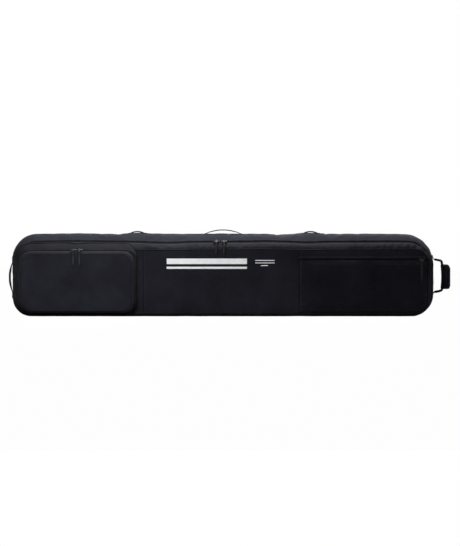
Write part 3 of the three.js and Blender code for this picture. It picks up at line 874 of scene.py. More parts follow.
loop = BAG.places(ZIP_START, ZIP_END)
ts = BAG.depths(0.02, LID_SIDE, 0.005)
P = settle(BAG.skin(loop, ts))
out = from_axis(P)
N = surface_normals(P, out)
gather = puckers(P[..., 0] + 0.1 * P[..., 2], 0.030, 44) * np.where(P[..., 2] > 0.2, 1.0, 0.25)
strong = 0.35 + above(P[..., 0], 0.40, 0.05)
P = relief(P, N, 0.0008 + 0.0052 * gather * strong + 0.0016 * ripple(P, 6, 0.09))
P = simulated(P, border(P), out, 0.012, 0.3, 0.0020)
out = from_axis(P)
band_cloth = cloth("lid_band_cloth", P, out, "lid", SHELL, CLOTH_THICK, inner=LINING)
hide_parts("lid_gusset_left", "lid_gusset_right", "lid_gusset_top")

for side, (start, end) in (("right", (1.0, ZIP_START)), ("left", (8.0, ZIP_END))):
    loop = np.sort(np.linspace(start, end, 8))
    P = BAG.skin(loop, BAG.depths(0.02, SHELL_SIDE, 0.005))
    out = from_axis(P)
    corner = cloth("folding_corner_" + side, P, out, None, BASE, POCKET_THICK, inner=LINING)
    low_end, high_end = (BAG.outline(1.0, [place])[0] for place in (start + 0.1 * (end - start), end))
    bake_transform(corner, "shell", "lid", start=tuple(low_end), end=tuple(high_end))


def tree_of(piece):
    """A tree for casting rays at a piece as it stands."""
    return BVHTree.FromObject(piece, bpy.context.evaluated_depsgraph_get())


def front_y(trees, x, z, otherwise):
    """Depth of the first surface met from the front."""
    rays = (tree.ray_cast(Vector((x, -0.3, z)), Vector((0, 1, 0))) for tree in trees)
    return min((hit[0].y for hit in rays if hit[0]), default=otherwise)


LID_TREES = [tree_of(front), tree_of(band_cloth)]


# ---- Piping and top stitching on the seams --------------------------------------------
def piping(name, t, body, radius, push=0.0004):
    """A cord sewn in all round the bag at one station."""
    path, normal = seam_line(t, BAG.places()[:-1], push)
    path, normal = (np.vstack([line, line[:2]]) for line in (path, normal))
    rode(swept(name, path, circle(radius, 8), normal, BINDING), body)


piping("front_piping", 0.03, "lid", 0.0027, push=0.0012)
piping("back_piping", 7.95, "shell", 0.0022)
ZIP_PLACES = BAG.places(ZIP_START, ZIP_END)
for name, t, places, body, push in (
    ("gusset_zip_stitches", SHELL_SIDE + 0.16, ZIP_PLACES, "shell", 0.0006),
    ("lid_zip_stitches", LID_SIDE - 0.14, ZIP_PLACES, "lid", 0.0010),
    ("back_seam_stitches", 7.6, BAG.places(1.0, 8.0), "shell", 0.0006),
):
    rode(stitches(name, *seam_line(t, places, push)), body)


# ---- Zips ------------------------------------------------------------------------------
def zip_half(name, line, normal, across, body, replaced=None, width=0.0085, pitch=0.0021, start=0.5):
    """Tape and interlocking coil on one side of a zip. across points from the coil to the cloth, and
    start is how far along its pitch the first tooth stands."""
    rows = np.array([0.0004, 0.0018, 0.0020, width * 0.6, width])
    lift = np.array([0.0, 0.0, -0.0004, -0.0004, -0.0004])
    P = line[None] + across[None] * rows[:, None, None] + normal[None] * lift[:, None, None]
    tape = cloth(name, P, normal[None] * np.ones((5, 1, 1)), body, ZIP_TAPE_WITH_RECESS_SHADE, 0.0008)
    at = lengths(line)
    count = int(at[-1] / pitch)
    where = (np.arange(count) + start) * at[-1] / count
    out, aside = (unit(sampled(where, at, values)) for values in (normal, across))
    w, h, d = pitch * 0.30, 0.0009, 0.0021
    tooth = [(-w, -0.0008, 0), (w, -0.0008, 0), (w, d, 0), (-w, d, 0),
             (-w * 0.6, -0.0005, h), (w * 0.6, -0.0005, h), (w, d, h * 0.9), (-w, d, h * 0.9)]
    axes = (unit(np.cross(aside, out)), aside, out)
    rode(copies(name + "_coil", tooth, BOX_FACES, sampled(where, at, line), axes, ZIP_COIL_WITH_RECESS_SHADE), body)
    if replaced:
        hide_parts(replaced)


def from_coil(line, normal):
    """Directions across a zip that turns with the skin, from its coil towards the back."""
    across = unit(np.cross(normal, tangents(line)))
    return -across if across[len(across) // 2][1] < 0 else across


line, normal = seam_line(T_ZIP, ZIP_PLACES, -ZIP_SINK)
across = from_coil(line, normal)
zip_half("main_zip_rear_half", line, normal, across, "shell", "main_zip_tape_rear")
zip_half("main_zip_lid_half", line, normal, -across, "lid", "main_zip_tape_lid", start=0.0)

# ---- Boot pocket ------------------------------------------------------------------------
gusset_low, gusset_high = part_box("pocket_gusset")
POCKET_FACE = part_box("pocket_face")[0].y
POCKET_RADII = mm(58, 42, 46, 52)
POCKET = Form(
    (gusset_low.x - 0.003, gusset_high.x - 0.011, gusset_low.z, 0.290),
    [(1000 * POCKET_FACE, 38, 19, 7, 0), (-115, 32, 13, 4, 0.5), (-108, 26, 8, 1, 0.8), (-98, 17, 4, 0, 1),
     (-80, 4, 0, 0, 1), (-64, -5, 0, 0, 1)],
    POCKET_RADII,
    POCKET_RADII,
)
P_ZIP = POCKET.at_y(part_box("pocket_zip_tape_lower")[1].y)
ZIP_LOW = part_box("pocket_zip_tape_lower")[0].z + 0.002
POCKET_MIDDLE = np.array([(gusset_low.x + gusset_high.x) / 2, 0, 0.15])


def place_at_height(stretch, z):
    """The place within a stretch of the pocket's zip that lies at a height."""
    places = np.linspace(*stretch, 400)
    heights = POCKET.outline(P_ZIP, places)[:, 2]
    return float(places[np.argmin(abs(heights - z))])


P_START, P_END = place_at_height((1, 3), ZIP_LOW), place_at_height((6, 8), ZIP_LOW)


def pocket_settle(P):
    """The pocket's upper rows follow the main zip's soft waves."""
    P = P.copy()
    share = above(P[..., 1], -0.112, 0.035) * above(P[..., 2], 0.2, 0.06)
    P[..., 2] += share * waves(P[..., 0], ZIP_WAVES)
    return P


def meets_lid(place):
    """The station where the pocket's gusset meets the lid behind it."""
    for t in np.linspace(3.0, 5.0, 21):
        x, y, z = POCKET.outline(t, [place])[0]
        if y > front_y(LID_TREES, x, z, -0.070):
            return t
    return 5.0


loop = POCKET.places()[:-1]
ends = np.array([meets_lid(place) for place in loop])
ends = np.minimum(np.convolve(np.r_[ends[-4:], ends, ends[:4]], np.ones(5) / 5, "same")[4:-4] + 0.04, 5.0)
shares = np.linspace(0, 1, 12)
P = np.stack([np.stack([POCKET.outline(P_ZIP + 0.22 + (end - P_ZIP - 0.22) * f, [place])[0]
                        for place, end in zip(loop, ends)]) for f in shares])
P = pocket_settle(np.concatenate([P, P[:, :1]], axis=1))
out = from_axis(P, POCKET_MIDDLE)
N = surface_normals(P, out)
v = np.sin(math.pi * shares)[:, None] ** 0.7
x, z = P[..., 0], P[..., 2]
slant = hump((x + 0.380) * 0.75 + (z - 0.280) * 0.66, 0, 0.007) * (z > 0.24)
DENTS = (0.172, 0.084)  # heights of the dents in the pocket's left side
puck = sum(hump(z, height, 0.012) for height in DENTS) * (x < POCKET_MIDDLE[0])
rise = 0.0015 + 0.0014 * ripple(P, 8, 0.10) + 0.003 * slant - 0.003 * puck
P = P + N * (v * rise * above(z, 0.020, 0.03))[..., None]
# The gusset is drawn in the darker cloth: painted shade along the pocket's sides.
pocket_side = cloth("boot_pocket_gusset", P, out, "lid", POCKET_GUSSET_PAINTED_SHADE, POCKET_THICK,
                    inner=LINING)
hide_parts("pocket_gusset")


def pocket_piping(name, line, push, radius, body):
    """A cord sewn in all round the pocket, moved out from a line of its skin."""
    outward = unit((line - POCKET_MIDDLE) * (1, 0, 1))
    rode(swept(name, line + outward * push, circle(radius, 8), outward, BINDING), body)


# A dark cord round the gusset's foot: a seam piping, and painted shade where the gusset meets the lid.
pocket_piping("boot_pocket_foot_piping", P[-2], 0.0008, 0.0026, "lid")

P, away = POCKET.face(0)
x, z = P[..., 0], P[..., 2]
soft = 0.0026 * ripple(P, 51, 0.20) + 0.0014 * ripple(P, 52, 0.07)
gather = 0.0022 * puckers(x + 0.5 * z, 0.034, 53) * np.exp(-away / 0.030)
PULLS_X = -0.585  # where the pocket's two pulls hang at rest
pulls_here = hump(x, PULLS_X, 0.05) * above(z, 0.17, 0.03)
P[..., 1] -= above(away, 0, 0.02) * (0.0012 + (soft + gather) * (1 - pulls_here))
P[..., 1] += 0.004 * (hump(z, DENTS[0], 0.012) * below(x, -0.795, 0.02))
P = simulated(P, away < 0.004, FORWARD, 0.008, 0.3, 0.0030)
x, z = P[..., 0], P[..., 2]
under_pulls = hump(x, PULLS_X, 0.045) * above(z, 0.17, 0.03)
by_zip = above(z, 0.16, 0.04)
P[..., 1] = limited(P[..., 1], POCKET_FACE, 0.0036 - 0.0018 * by_zip - 0.0008 * under_pulls)
rim = POCKET.skin(POCKET.round_trip(0), np.linspace(0, P_ZIP - 0.24, 6))
pocket_flap = grid("boot_pocket_face", facing(P, FORWARD), POCKET_CLOTH, planar=(0, 2), worn=0.01)
rim_cloth = grid("boot_pocket_rim", facing(rim, from_axis(rim, POCKET_MIDDLE)), POCKET_CLOTH)
pocket_flap = joined("boot_pocket_face", [pocket_flap, rim_cloth])
merge(pocket_flap)
thicken(pocket_flap, POCKET_THICK, inner=LINING)
rode(pocket_flap, "pocket_flap")
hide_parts("pocket_face")
edge = POCKET.outline(0.0, POCKET.round_trip(0))
pocket_piping("boot_pocket_face_piping", edge, -0.0004, 0.0015, "pocket_flap")


def pocket_line(t, loop, push):
    """Points of a seam of the pocket at one station, with its outward normals."""
    return seam_line(t, loop, push, POCKET, pocket_settle, POCKET_MIDDLE, 0.03)


loop = POCKET.places(P_START, P_END)
line, normal = pocket_line(P_ZIP, loop, -0.0016)
across = from_coil(line, normal)
zip_half("boot_pocket_zip_outer_half", line, normal, across, "lid", "pocket_zip_tape_upper", width=0.007)
zip_half("boot_pocket_zip_face_half", line, normal, -across, "pocket_flap", "pocket_zip_tape_lower",
         width=0.007, start=0.0)
for name, t, push, body in (("boot_pocket_gusset_stitches", P_ZIP + 0.42, 0.0006, "lid"),
                            ("boot_pocket_face_stitches", P_ZIP - 0.40, 0.0003, "pocket_flap")):
    rode(stitches(name, *pocket_line(t, loop, push)), body)

hem_loop = np.concatenate([POCKET.places(P_END, 9.0)[:-1], POCKET.places(0.0, P_START)])
low_hem, _ = pocket_line(P_ZIP, hem_loop, 0.0002)
hem = swept("boot_pocket_hem", low_hem, band(0.011, 0.0018), (0, 1, 0), BINDING)
foremost = P[..., 1].min()
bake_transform(hem, "lid", "pocket_flap", start=(0, foremost + 0.016, 0), end=(0, foremost + 0.006, 0))

for side, places in (("right", np.linspace(0.97, P_START, 12)), ("left", np.linspace(P_END, 8.03, 12))):
    P = POCKET.skin(places, np.linspace(P_ZIP - 0.35, P_ZIP + 0.45, 9))
    out = from_axis(P, POCKET_MIDDLE)
    P = P - surface_normals(P, out) * 0.0022
    low, high = P[..., 1].min(), P[..., 1].max()
    inset = cloth("boot_pocket_corner_" + side, P, out, None, POCKET_CLOTH, 0.001)
    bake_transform(inset, "lid", "pocket_flap", start=(0, high - 0.001, 0), end=(0, low + 0.001, 0))

# ---- Sleeve pocket on the front ----------------------------------------------------------
sleeve_low, sleeve_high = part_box("sleeve_panel")
MOUTH_Z = sleeve_high.z
ZIP_Z = (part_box("sleeve_zip_tape_lower")[1].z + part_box("sleeve_zip_tape_upper")[0].z) / 2
SLEEVE_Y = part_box("sleeve_zip_tape_lower")[0].y


def sleeve_right(z):
    """The sleeve's right edge at a height: it follows the front seam round the lower corner."""
    places = np.linspace(0.5, 3.5, 500)
    edge = BAG.outline(0.0, places)
    return float(np.interp(z, edge[:, 2], edge[:, 0])) - 0.002


SLEEVE_ROWS, SLEEVE_COLS = 34, 74
P = np.zeros((SLEEVE_ROWS, SLEEVE_COLS, 3))
for row, z in zip(P, np.linspace(sleeve_low.z - 0.003, ZIP_Z - ZIP_HALF, SLEEVE_ROWS)):
    row[:, 0] = np.linspace(sleeve_low.x, sleeve_right(z), SLEEVE_COLS)
    row[:, 2] = z
x, z = P[..., 0], P[..., 2]
u = np.linspace(0, 1, SLEEVE_COLS)[None]
v = np.linspace(0, 1, SLEEVE_ROWS)[:, None]
swell = np.clip(np.minimum(u, 1 - u) * 12, 0, 1) ** 0.6 * np.clip(v * 5, 0, 1) ** 0.6
soft = 0.0016 * ripple(P, 61, 0.24) + 0.0009 * ripple(P, 62, 0.08)
creases = 0.0022 * puckers(x - 0.6 * z, 0.05, 63) * np.clip(1 - v * 4, 0, 1)
sag = above(v, 0.86, 0.14)
P[..., 1] = -0.0830 - 0.0035 * swell * (1 - 0.35 * sag) - (soft + creases) * swell
P = simulated(P, border(P), FORWARD, 0.010, 0.2, 0.0030)
P[..., 1] = np.maximum(P[..., 1], SLEEVE_Y - 0.0004)
sleeve = cloth("sleeve_pocket_cloth", P, FORWARD, "lid", SLEEVE_CLOTH, 0.0014, planar=(0, 2))
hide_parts("sleeve_panel")
SLEEVE_TREE = tree_of(sleeve)

top_edge = np.linspace(sleeve_low.x, sleeve_right(ZIP_Z + 0.012), SLEEVE_COLS)
# The welt over the sleeve's zip, as place in Y and height over the zip.
WELT = [(-0.0855, ZIP_HALF), (-0.0858, 0.0075), (-0.0848, 0.0110), (-0.0820, 0.0128)]
P = np.stack([straight(top_edge, y, ZIP_Z + rise) for y, rise in WELT])
welt = cloth("sleeve_zip_welt", P, FORWARD, "lid", SLEEVE_CLOTH, 0.0012, planar=(0, 2))
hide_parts("sleeve_zip_tape_upper")

line = straight(np.linspace(sleeve_low.x + 0.003, sleeve_right(ZIP_Z) - 0.003, 60), -0.0842, ZIP_Z)
outward, up = (np.tile(direction, (60, 1)) for direction in ((0.0, -1.0, 0.0), (0.0, 0.0, 1.0)))
zip_half("sleeve_zip_upper_half", line, outward, up, "lid", width=0.006, pitch=0.0018)
zip_half("sleeve_zip_lower_half", line, outward, -up, "lid", "sleeve_zip_tape_lower", width=0.006,
         pitch=0.0018, start=0.0)


def front_line(points, trees, lift):
    """A line drawn on the front, laid on the first surface met, with its outward normals."""
    points = np.asarray(points, float)
    at = lengths(points)
    where = np.linspace(0, at[-1], max(3, int(at[-1] / 0.006)))
    x, z = (np.interp(where, at, points[:, k]) for k in (0, 1))
    y = np.array([front_y(trees, a, b, FRONT_Y) for a, b in zip(x, z)]) - lift
    return straight(x, y, z), np.tile((0.0, -1.0, 0.0), (len(x), 1))


def seam_on_front(name, points, trees, rows, groove_shade=None):
    """A sewn seam on the front: rows of stitches, and, where a width is given for it, a narrow dark band laid
    flat along the seam, painted shade of the recess along the seam.
    """
    for k, shift in enumerate(rows):
        moved = np.asarray(points, float)
        along = unit(moved[-1] - moved[0])
        moved = moved + np.array([-along[1], along[0]]) * shift
        path, normal = front_line(moved, trees, lift=0.0002)
        rode(stitches(f"{name}_stitches_{k + 1}", path, normal), "lid")
    # Painted shade: a flat dark band in the recess along the seam.
    if groove_shade:
        path, normal = front_line(points, trees, lift=0.0001)
        side = np.cross(tangents(path), normal)
        rode(swept(name, path, band(groove_shade, 0.0012), side, BINDING), "lid")


PANEL_TREE = tree_of(front)
FRONT_TREES = [PANEL_TREE, SLEEVE_TREE]
left_x, right_x = -0.318, sleeve_low.x  # seams of the front's middle panel
seam_on_front("front_seam_left", [(left_x, 0.264), (left_x, 0.016)], [PANEL_TREE], (0.005,), groove_shade=0.003)
seam_on_front("front_seam_right", [(right_x - 0.001, 0.266), (right_x - 0.001, 0.016)], FRONT_TREES,
              (0.005, 0.009), groove_shade=0.003)
for name, z, end_z, trees, rows in (("sleeve_mouth", MOUTH_Z - 0.001, MOUTH_Z, FRONT_TREES, (0.0, -0.010)),
                                    ("sleeve_welt", ZIP_Z + 0.0095, ZIP_Z, [tree_of(welt)], (0.0,))):
    seam_on_front(name, [(right_x + 0.004, z), (sleeve_right(end_z) - 0.004, z)], trees, rows)


# ---- Generic printed bars ------------------------------------------------------------------
def printed_bar(name, x0, x1, z0, z1):
    """A flat bar of ink lying on the front panel."""
    cols, rows = max(2, int((x1 - x0) / 0.004) + 1), max(2, int((z1 - z0) / 0.004) + 1)
    P = np.zeros((rows, cols, 3))
    for i, z in enumerate(np.linspace(z0, z1, rows)):
        for j, x in enumerate(np.linspace(x0, x1, cols)):
            P[i, j] = (x, front_y([PANEL_TREE], x, z, FRONT_Y) - PRINT_LIFT, z)
    rode(grid(name, facing(P, FORWARD), INK, planar=(0, 2)), "lid")


printed_bar("printed_bar_wide", -0.225, 0.096, 0.2105, 0.2325)
printed_bar("printed_bar_narrow", -0.225, 0.096, 0.1915, 0.2000)
for k, (x0, x1, z) in enumerate([(0.129, 0.207, 0.2235), (0.129, 0.207, 0.2135), (0.152, 0.180, 0.2030)]):
    printed_bar(f"printed_rule_{k + 1}", x0, x1, z, z + 0.0030)


# ---- Sliders and pulls -----------------------------------------------------------------------
def rounded_block(low, high, radius, material):
    """A block with rounded edges."""
    corners = [(x, y, z) for z in (low[2], high[2])
               for x, y in ((low[0], low[1]), (high[0], low[1]), (high[0], high[1]), (low[0], high[1]))]
    piece = build("block", corners, BOX_FACES, materials=[material])
    soft = piece.modifiers.new("rounding", "BEVEL")
    soft.width, soft.segments, soft.limit_method = radius, 3, "NONE"
    return piece


def settled_mesh(piece):
    """Turns a piece's modifiers into plain mesh."""
    bpy.context.view_layer.update()
    depsgraph = bpy.context.evaluated_depsgraph_get()
    mesh = bpy.data.meshes.new_from_object(piece.evaluated_get(depsgraph))
    piece.modifiers.clear()
    piece.data = mesh


def placed(piece, origin, xs, ys, zs):
    """Puts a piece made in its own axes in place, in its mesh."""
    settled_mesh(piece)
    turn = np.eye(4)
    turn[:3, 0], turn[:3, 1], turn[:3, 2], turn[:3, 3] = xs, ys, zs, origin
    piece.data.transform(Matrix(turn.tolist()))
    return piece


def ring(radius, thick, squeeze, material):
    """A closed wire loop in the XZ plane, hanging from the origin."""
    turn = np.linspace(0, 2 * math.pi, 29)
    path = np.stack([radius * squeeze * np.sin(turn), 0 * turn, radius * (np.cos(turn) - 1)], 1)
    P = []
    for point, along in zip(path[:-1], tangents(path)[:-1]):
        side = np.array([0, 1, 0])
        P.append(point + circle(thick, 8) @ np.stack([side, np.cross(unit(along), side)]))
    return grid("hook", np.array(P + [P[0]]), material, around=True)


def rounded_square(turn, x_power, y_power):
    """Points at turning angles round a square with rounded corners, between -1 and 1."""
    c, s = np.cos(turn), np.sin(turn)
    return np.stack([np.sign(c) * abs(c) ** x_power, np.sign(s) * abs(s) ** y_power], 1)


def hinge(which):
    """Where a pull swings on its slider."""
    return np.array(next(j for j in frame["joints"] if j["name"] == which + "_pull_swing")["pos_m"])


TILT = {"main": 45, "pocket": 40, "sleeve": 90}  # degrees by which each zip's skin leans forward
# Half the plan of a slider's plates, in shares of its half length and its size.
SHIELD = [(-1.0, 0.42), (-0.62, 0.50), (0.1, 0.46), (0.62, 0.62), (0.96, 0.58), (1.0, 0.40)]


def slider(which, size):
    """Slider body at its joint: two shield plates, the post between them and the pull's bridge."""
    low, high = box_of(which + "_slider")
    half = (high[0] - low[0]) / 2
    tilt = math.radians(TILT[which.split("_")[0]])
    normal = np.array([0, -math.sin(tilt), math.cos(tilt)])
    xs = np.array([1.0, 0, 0])
    where = (hinge(which) - normal * PULL_DROP, xs, np.cross(normal, xs), normal)
    plan = [(x * half, y * size) for x, y in SHIELD]
    plan += [(x, -y) for x, y in plan[::-1]]
    count = len(plan)
    parts = []
    for heights in ((0.0034, 0.0058), (-0.0004, 0.0014)):
        points = [(x, y, z) for z in heights for x, y in plan]
        faces = [list(range(count))[::-1], list(range(count, 2 * count))]
        faces += [(i, (i + 1) % count, count + (i + 1) % count, count + i) for i in range(count)]
        plate = build("plate", points, faces, materials=[METAL])
        soft = plate.modifiers.new("rounding", "BEVEL")
        soft.width, soft.segments, soft.limit_method = 0.0007, 3, "ANGLE"
        parts.append(placed(plate, *where))
    post = rounded_block((0.2 * half, -0.0016, 0.001), (0.85 * half, 0.0016, 0.004), 0.0005, METAL)
    parts.append(placed(post, *where))
    arch = smooth_path([(-0.62 * half, 0, 0.0052), (-0.50 * half, 0, 0.0086), (0, 0, 0.0108),
                        (0.50 * half, 0, 0.0086), (0.62 * half, 0, 0.0052)], 17)
    parts.append(placed(swept("bridge", arch, band(0.0042, 0.0014), (0, 1, 0), METAL), *where))
    piece = rode(joined(which + "_slider_body", parts), which + "_slider")
    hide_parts(which + "_slider")


RING = 0.0052  # radius of a pull's wire ring
CORD_GAP = 0.0017  # from a pull's middle to each of its two cords
GRIP_SHARE = (0.22, 0.80)  # where the grip starts and ends between the ring and the pull's lowest point
GRIP_STEPS = 46


def pull(which):
    """Pull hanging from its slider: a wire ring, a doubled cord, a ribbed grip and the cord's loop."""
    pivot = hinge(which)
    low, _ = box_of(which + "_pull")
    hang = (low[1] + min(low[1] + 0.0045, pivot[1])) / 2
    bottom = low[2]
    lean = unit((0, hang - pivot[1], -0.020))
    hook = ring(RING, 0.0009, 0.8, BRIGHT)
    parts = [placed(hook, pivot + (0, 0, 0.0009), (1, 0, 0), np.cross(-lean, (1, 0, 0)), -lean)]
    eye = pivot + lean * (2 * RING)
    top, end = (eye[2] - (eye[2] - bottom) * share for share in GRIP_SHARE)
    middle = pivot[0]
    left, right = middle - CORD_GAP, middle + CORD_GAP
    cords = [([(middle, eye[1], eye[2] + 0.0012), (x, (eye[1] + hang) / 2, eye[2] - 0.004),
               (x, hang, eye[2] - 0.012), (x, hang, top - 0.004)], 18, (1, 0, 0)) for x in (left, right)]
    loop = [(left, end + 0.003), (middle - CORD_GAP * 1.4, bottom + 0.006), (middle, bottom + 0.0013),
            (middle + CORD_GAP * 1.4, bottom + 0.006), (right, end + 0.003)]
    cords.append(([(x, hang, z) for x, z in loop], 26, (0, 1, 0)))
    for points, count, start in cords:
        line = smooth_path(points, count)
        parts.append(swept("cord", line, circle(0.00125), carried(line, start), CORD, taper=2))
    share = np.linspace(0, 1, GRIP_STEPS)
    ribs = 1 + 0.05 * np.sign(np.sin(share * math.pi * 2 * 7)) * ((share > 0.22) & (share < 0.82))
    rounded = np.clip(np.minimum(share, 1 - share) * 14, 0.35, 1) ** 0.5
    wide = (0.0040 + 0.0004 * np.sin(share * math.pi)) * ribs * rounded
    deep = 0.0021 * ribs * rounded
    square = rounded_square(np.linspace(0, 2 * math.pi, 17)[:-1], 0.6, 0.6)
    P = np.stack([straight(middle + square[:, 0] * w, hang + square[:, 1] * d, z)
                  for z, w, d in zip(np.linspace(top, end, GRIP_STEPS), wide, deep)])
    parts.append(grid("grip", P, RUBBER, around=True, caps=True))
    piece = rode(joined(which + "_pull_loop", parts), which + "_pull")
    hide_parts(which + "_pull")


for which in ("main_left", "main_right", "pocket_left", "pocket_right", "sleeve"):
    slider(which, 0.0058 if which != "sleeve" else 0.0052)
    pull(which)


# ---- Flat webbing: handles, loops, straps -------------------------------------------------------
def webbing(name, path, side, width, thickness=WEB_THICK):
    """Flat webbing along a path. Its thickness is one number, or one for each point."""
    profiles = [band(width, t) for t in np.broadcast_to(thickness, len(path))]
    return swept(name, path, profiles, side, WEBBING)


def handle(name, ends, width, thickness, upright=False):
    """An arched webbing handle in two halves, each sewn down at one end and bending up to the middle,
    where it has its full thickness. It lies along X on the top, or upright on the left end."""
    low, high = box_of(name)
    centre = (low + high) / 2
    axis, other, outward = (2, 0, -1) if upright else (0, 2, 1)  # along it, away from the bag, and which way
    lift, rise, inset, fullness = (0.0040, 0.60, 0.50, 0.92) if upright else (0.0035, 0.55, 0.55, 0.87)
    top = (low if upright else high)[other] - outward * thickness / 2
    for half, anchor in enumerate(name + "_anchor_" + end for end in ends):
        sign = (-1, 1)[half]
        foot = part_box(anchor)[1].x - 0.0018 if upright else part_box(anchor)[0].z + 0.0006
        reach, tip = (abs(centre[axis] - corners[half][axis]) for corners in ((low, high), box_of(anchor)))
        bend = reach * 1.45  # where it leaves its foot
        knots = [(tip, foot), (tip * 0.9, foot), (bend + 0.006, foot + outward * 0.0002),
                 (bend - 0.008, foot + outward * lift), (reach, foot + (top - foot) * rise),
                 (reach * inset, foot + (top - foot) * fullness), (reach * 0.2, top), (0, top)]
        line = np.tile(centre, (len(knots), 1))
        line[:, axis] = [centre[axis] + sign * along for along, _ in knots]
        line[:, other] = [level for _, level in knots]
        path = smooth_path(line, 44)
        away = abs(path[:, axis] - centre[axis])
        if not upright:
            path[:, 2] += np.interp(away, [reach, bend], [0, 1]) * waves(path[:, 0], TOP_WAVES)
        thick = np.interp(away, [reach * 0.7, bend], [thickness, WEB_THICK])
        piece = webbing(f"{name}_webbing_{half + 1}", path, (0, 1, 0), width, thick)
        start, end = [list(centre), list(centre)]
        start[axis], end[axis] = centre[axis] + sign * bend, centre[axis] + sign * reach
        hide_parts(anchor, name)
        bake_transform(piece, "shell", name, start=tuple(start), end=tuple(end))
        sew_foot(f"{name}_sewing_{half + 1}", path[1], axis, centre[axis] + sign * (bend + 0.010),
                 width * 0.36, None if upright else foot + 0.0013)


def sew_foot(name, start, axis, end, half_width, level):
    """Two rows of stitches and a cross over a handle's foot, from a point to an end along an axis. On
    the top they lie at a level above it and follow its waves."""
    outward = np.array((-1, 0, 0) if level is None else (0, 0, 1))
    low_a, high_a = (start + outward * 0.0014 + (0, side * half_width, 0) for side in (-1, 1))
    low_b, high_b = low_a.copy(), high_a.copy()
    low_b[axis] = high_b[axis] = end
    sewn = []
    for a, b in ((low_a, low_b), (high_a, high_b), (low_a, high_b), (high_a, low_b)):
        line = np.linspace(a, b, 12)
        if level is not None:
            line[:, 2] = level + waves(line[:, 0], TOP_WAVES)
        sewn.append(stitches("sewn", line, np.tile(outward, (12, 1)), pitch=0.0034, length=0.0024))
    rode(joined(name, sewn), "shell")


handle("carry_handle", ("left", "right"), 0.030, 0.0040)
for name in ("strap_loop_left", "strap_loop_right"):
    handle(name, ("left", "right"), 0.025, 0.0052)
handle("left_grab_handle", ("low", "top"), 0.030, 0.0078, upright=True)

# The end handle: webbing from two sewn feet to a padded grip.
GRIP_LOW, GRIP_HIGH = box_of("end_grab_grip")
GRIP_Y = (GRIP_LOW[1] + GRIP_HIGH[1]) / 2
CORE_X = GRIP_LOW[0] + 0.007  # where the webbing runs inside the grip
FOOT_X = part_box("end_grab_anchor_low")[0].x + 0.0015
for k, (end, sign, sunk) in enumerate((("low", 1, 0.0028), ("top", -1, 0.0046))):
    anchor = "end_grab_anchor_" + end
    outer, inner = (corners[0 if sign > 0 else 1][2] for corners in (box_of(anchor), (GRIP_LOW, GRIP_HIGH)))
    # The foot is sunk, because the wall falls away at its corners.
    knots = [(FOOT_X - sunk, 0.0), (FOOT_X - sunk * 0.4, 0.010), (FOOT_X + 0.0030, 0.0165),
             (FOOT_X + 0.012, 0.0188), (FOOT_X + 0.022, 0.0208), (CORE_X - 0.0035, 0.0245)]
    line = [(x, GRIP_Y, outer + sign * rise) for x, rise in knots]
    line += [(CORE_X, GRIP_Y, inner + sign * 0.002), (CORE_X + 0.0005, GRIP_Y, inner + sign * 0.012)]
    path = smooth_path(line, 40)
    thick = np.interp(path[:, 0], [FOOT_X + 0.001, FOOT_X + 0.007], [0.0022, 0.0092])
    piece = webbing(f"end_grab_webbing_{k + 1}", path, (0, 1, 0), 0.034, thick)
    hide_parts(anchor, "end_grab_webbing")
    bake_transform(piece, "shell", "end_grab", start=(FOOT_X + 0.006, 0, 0), end=(FOOT_X + 0.027, 0, 0))


def grip_depth(f):
    """Half the grip's depth a share f of the way up it."""
    return (GRIP_HIGH[1] - GRIP_LOW[1]) / 2 * (0.93 + 0.07 * math.sin(math.pi * f))


steps, sides = 44, 40
square = rounded_square(np.arange(sides) * 2 * math.pi / sides, 0.55, 0.6)
share = np.linspace(0, 1, steps)
ends_in = np.clip(np.minimum(share, 1 - share) * 16, 0, 1) ** 0.40
P = np.zeros((steps, sides, 3))
for i, (f, e) in enumerate(zip(share, ends_in)):
    chamfer = 0.008 * above(f, 0.84, 0.16) + 0.004 * below(f, 0.14, 0.14)
    inner = GRIP_LOW[0] + 0.0035 * math.sin(math.pi * f)
    outer = GRIP_HIGH[0] - chamfer - 0.0002 * math.sin(2 * math.pi * 5 * f)
    P[i, :, 0] = (inner + outer) / 2 + square[:, 0] * ((outer - inner) / 2) * (0.80 + 0.20 * e)
    P[i, :, 1] = GRIP_Y + square[:, 1] * grip_depth(f) * (0.70 + 0.30 * e)
    P[i, :, 2] = GRIP_LOW[2] + (GRIP_HIGH[2] - GRIP_LOW[2]) * f
grip = rode(grid("end_grab_padded_grip", P, SHELL, around=True, caps=True), "end_grab")
smoothed = grip.modifiers.new("smooth", "SUBSURF")
smoothed.levels = smoothed.render_levels = 1
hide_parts("end_grab_grip")
for k, sign in enumerate((-1, 1)):
    depths = [GRIP_Y + sign * (grip_depth(f) - 0.0001) for f in np.linspace(0.1, 0.9, 30)]
    path = straight(GRIP_HIGH[0] - 0.0105, depths, np.linspace(GRIP_LOW[2] + 0.010, GRIP_HIGH[2] - 0.010, 30))
    seam = swept(f"end_grab_grip_seam_{k + 1}", path, band(0.0042, 0.0010), (1, 0, 0), BINDING)
    rode(seam, "end_grab")
    row = stitches(f"end_grab_grip_stitches_{k + 1}", path + (-0.0045, sign * 0.0003, 0),
                   np.tile((0, sign, 0), (30, 1)))
    rode(row, "end_grab")

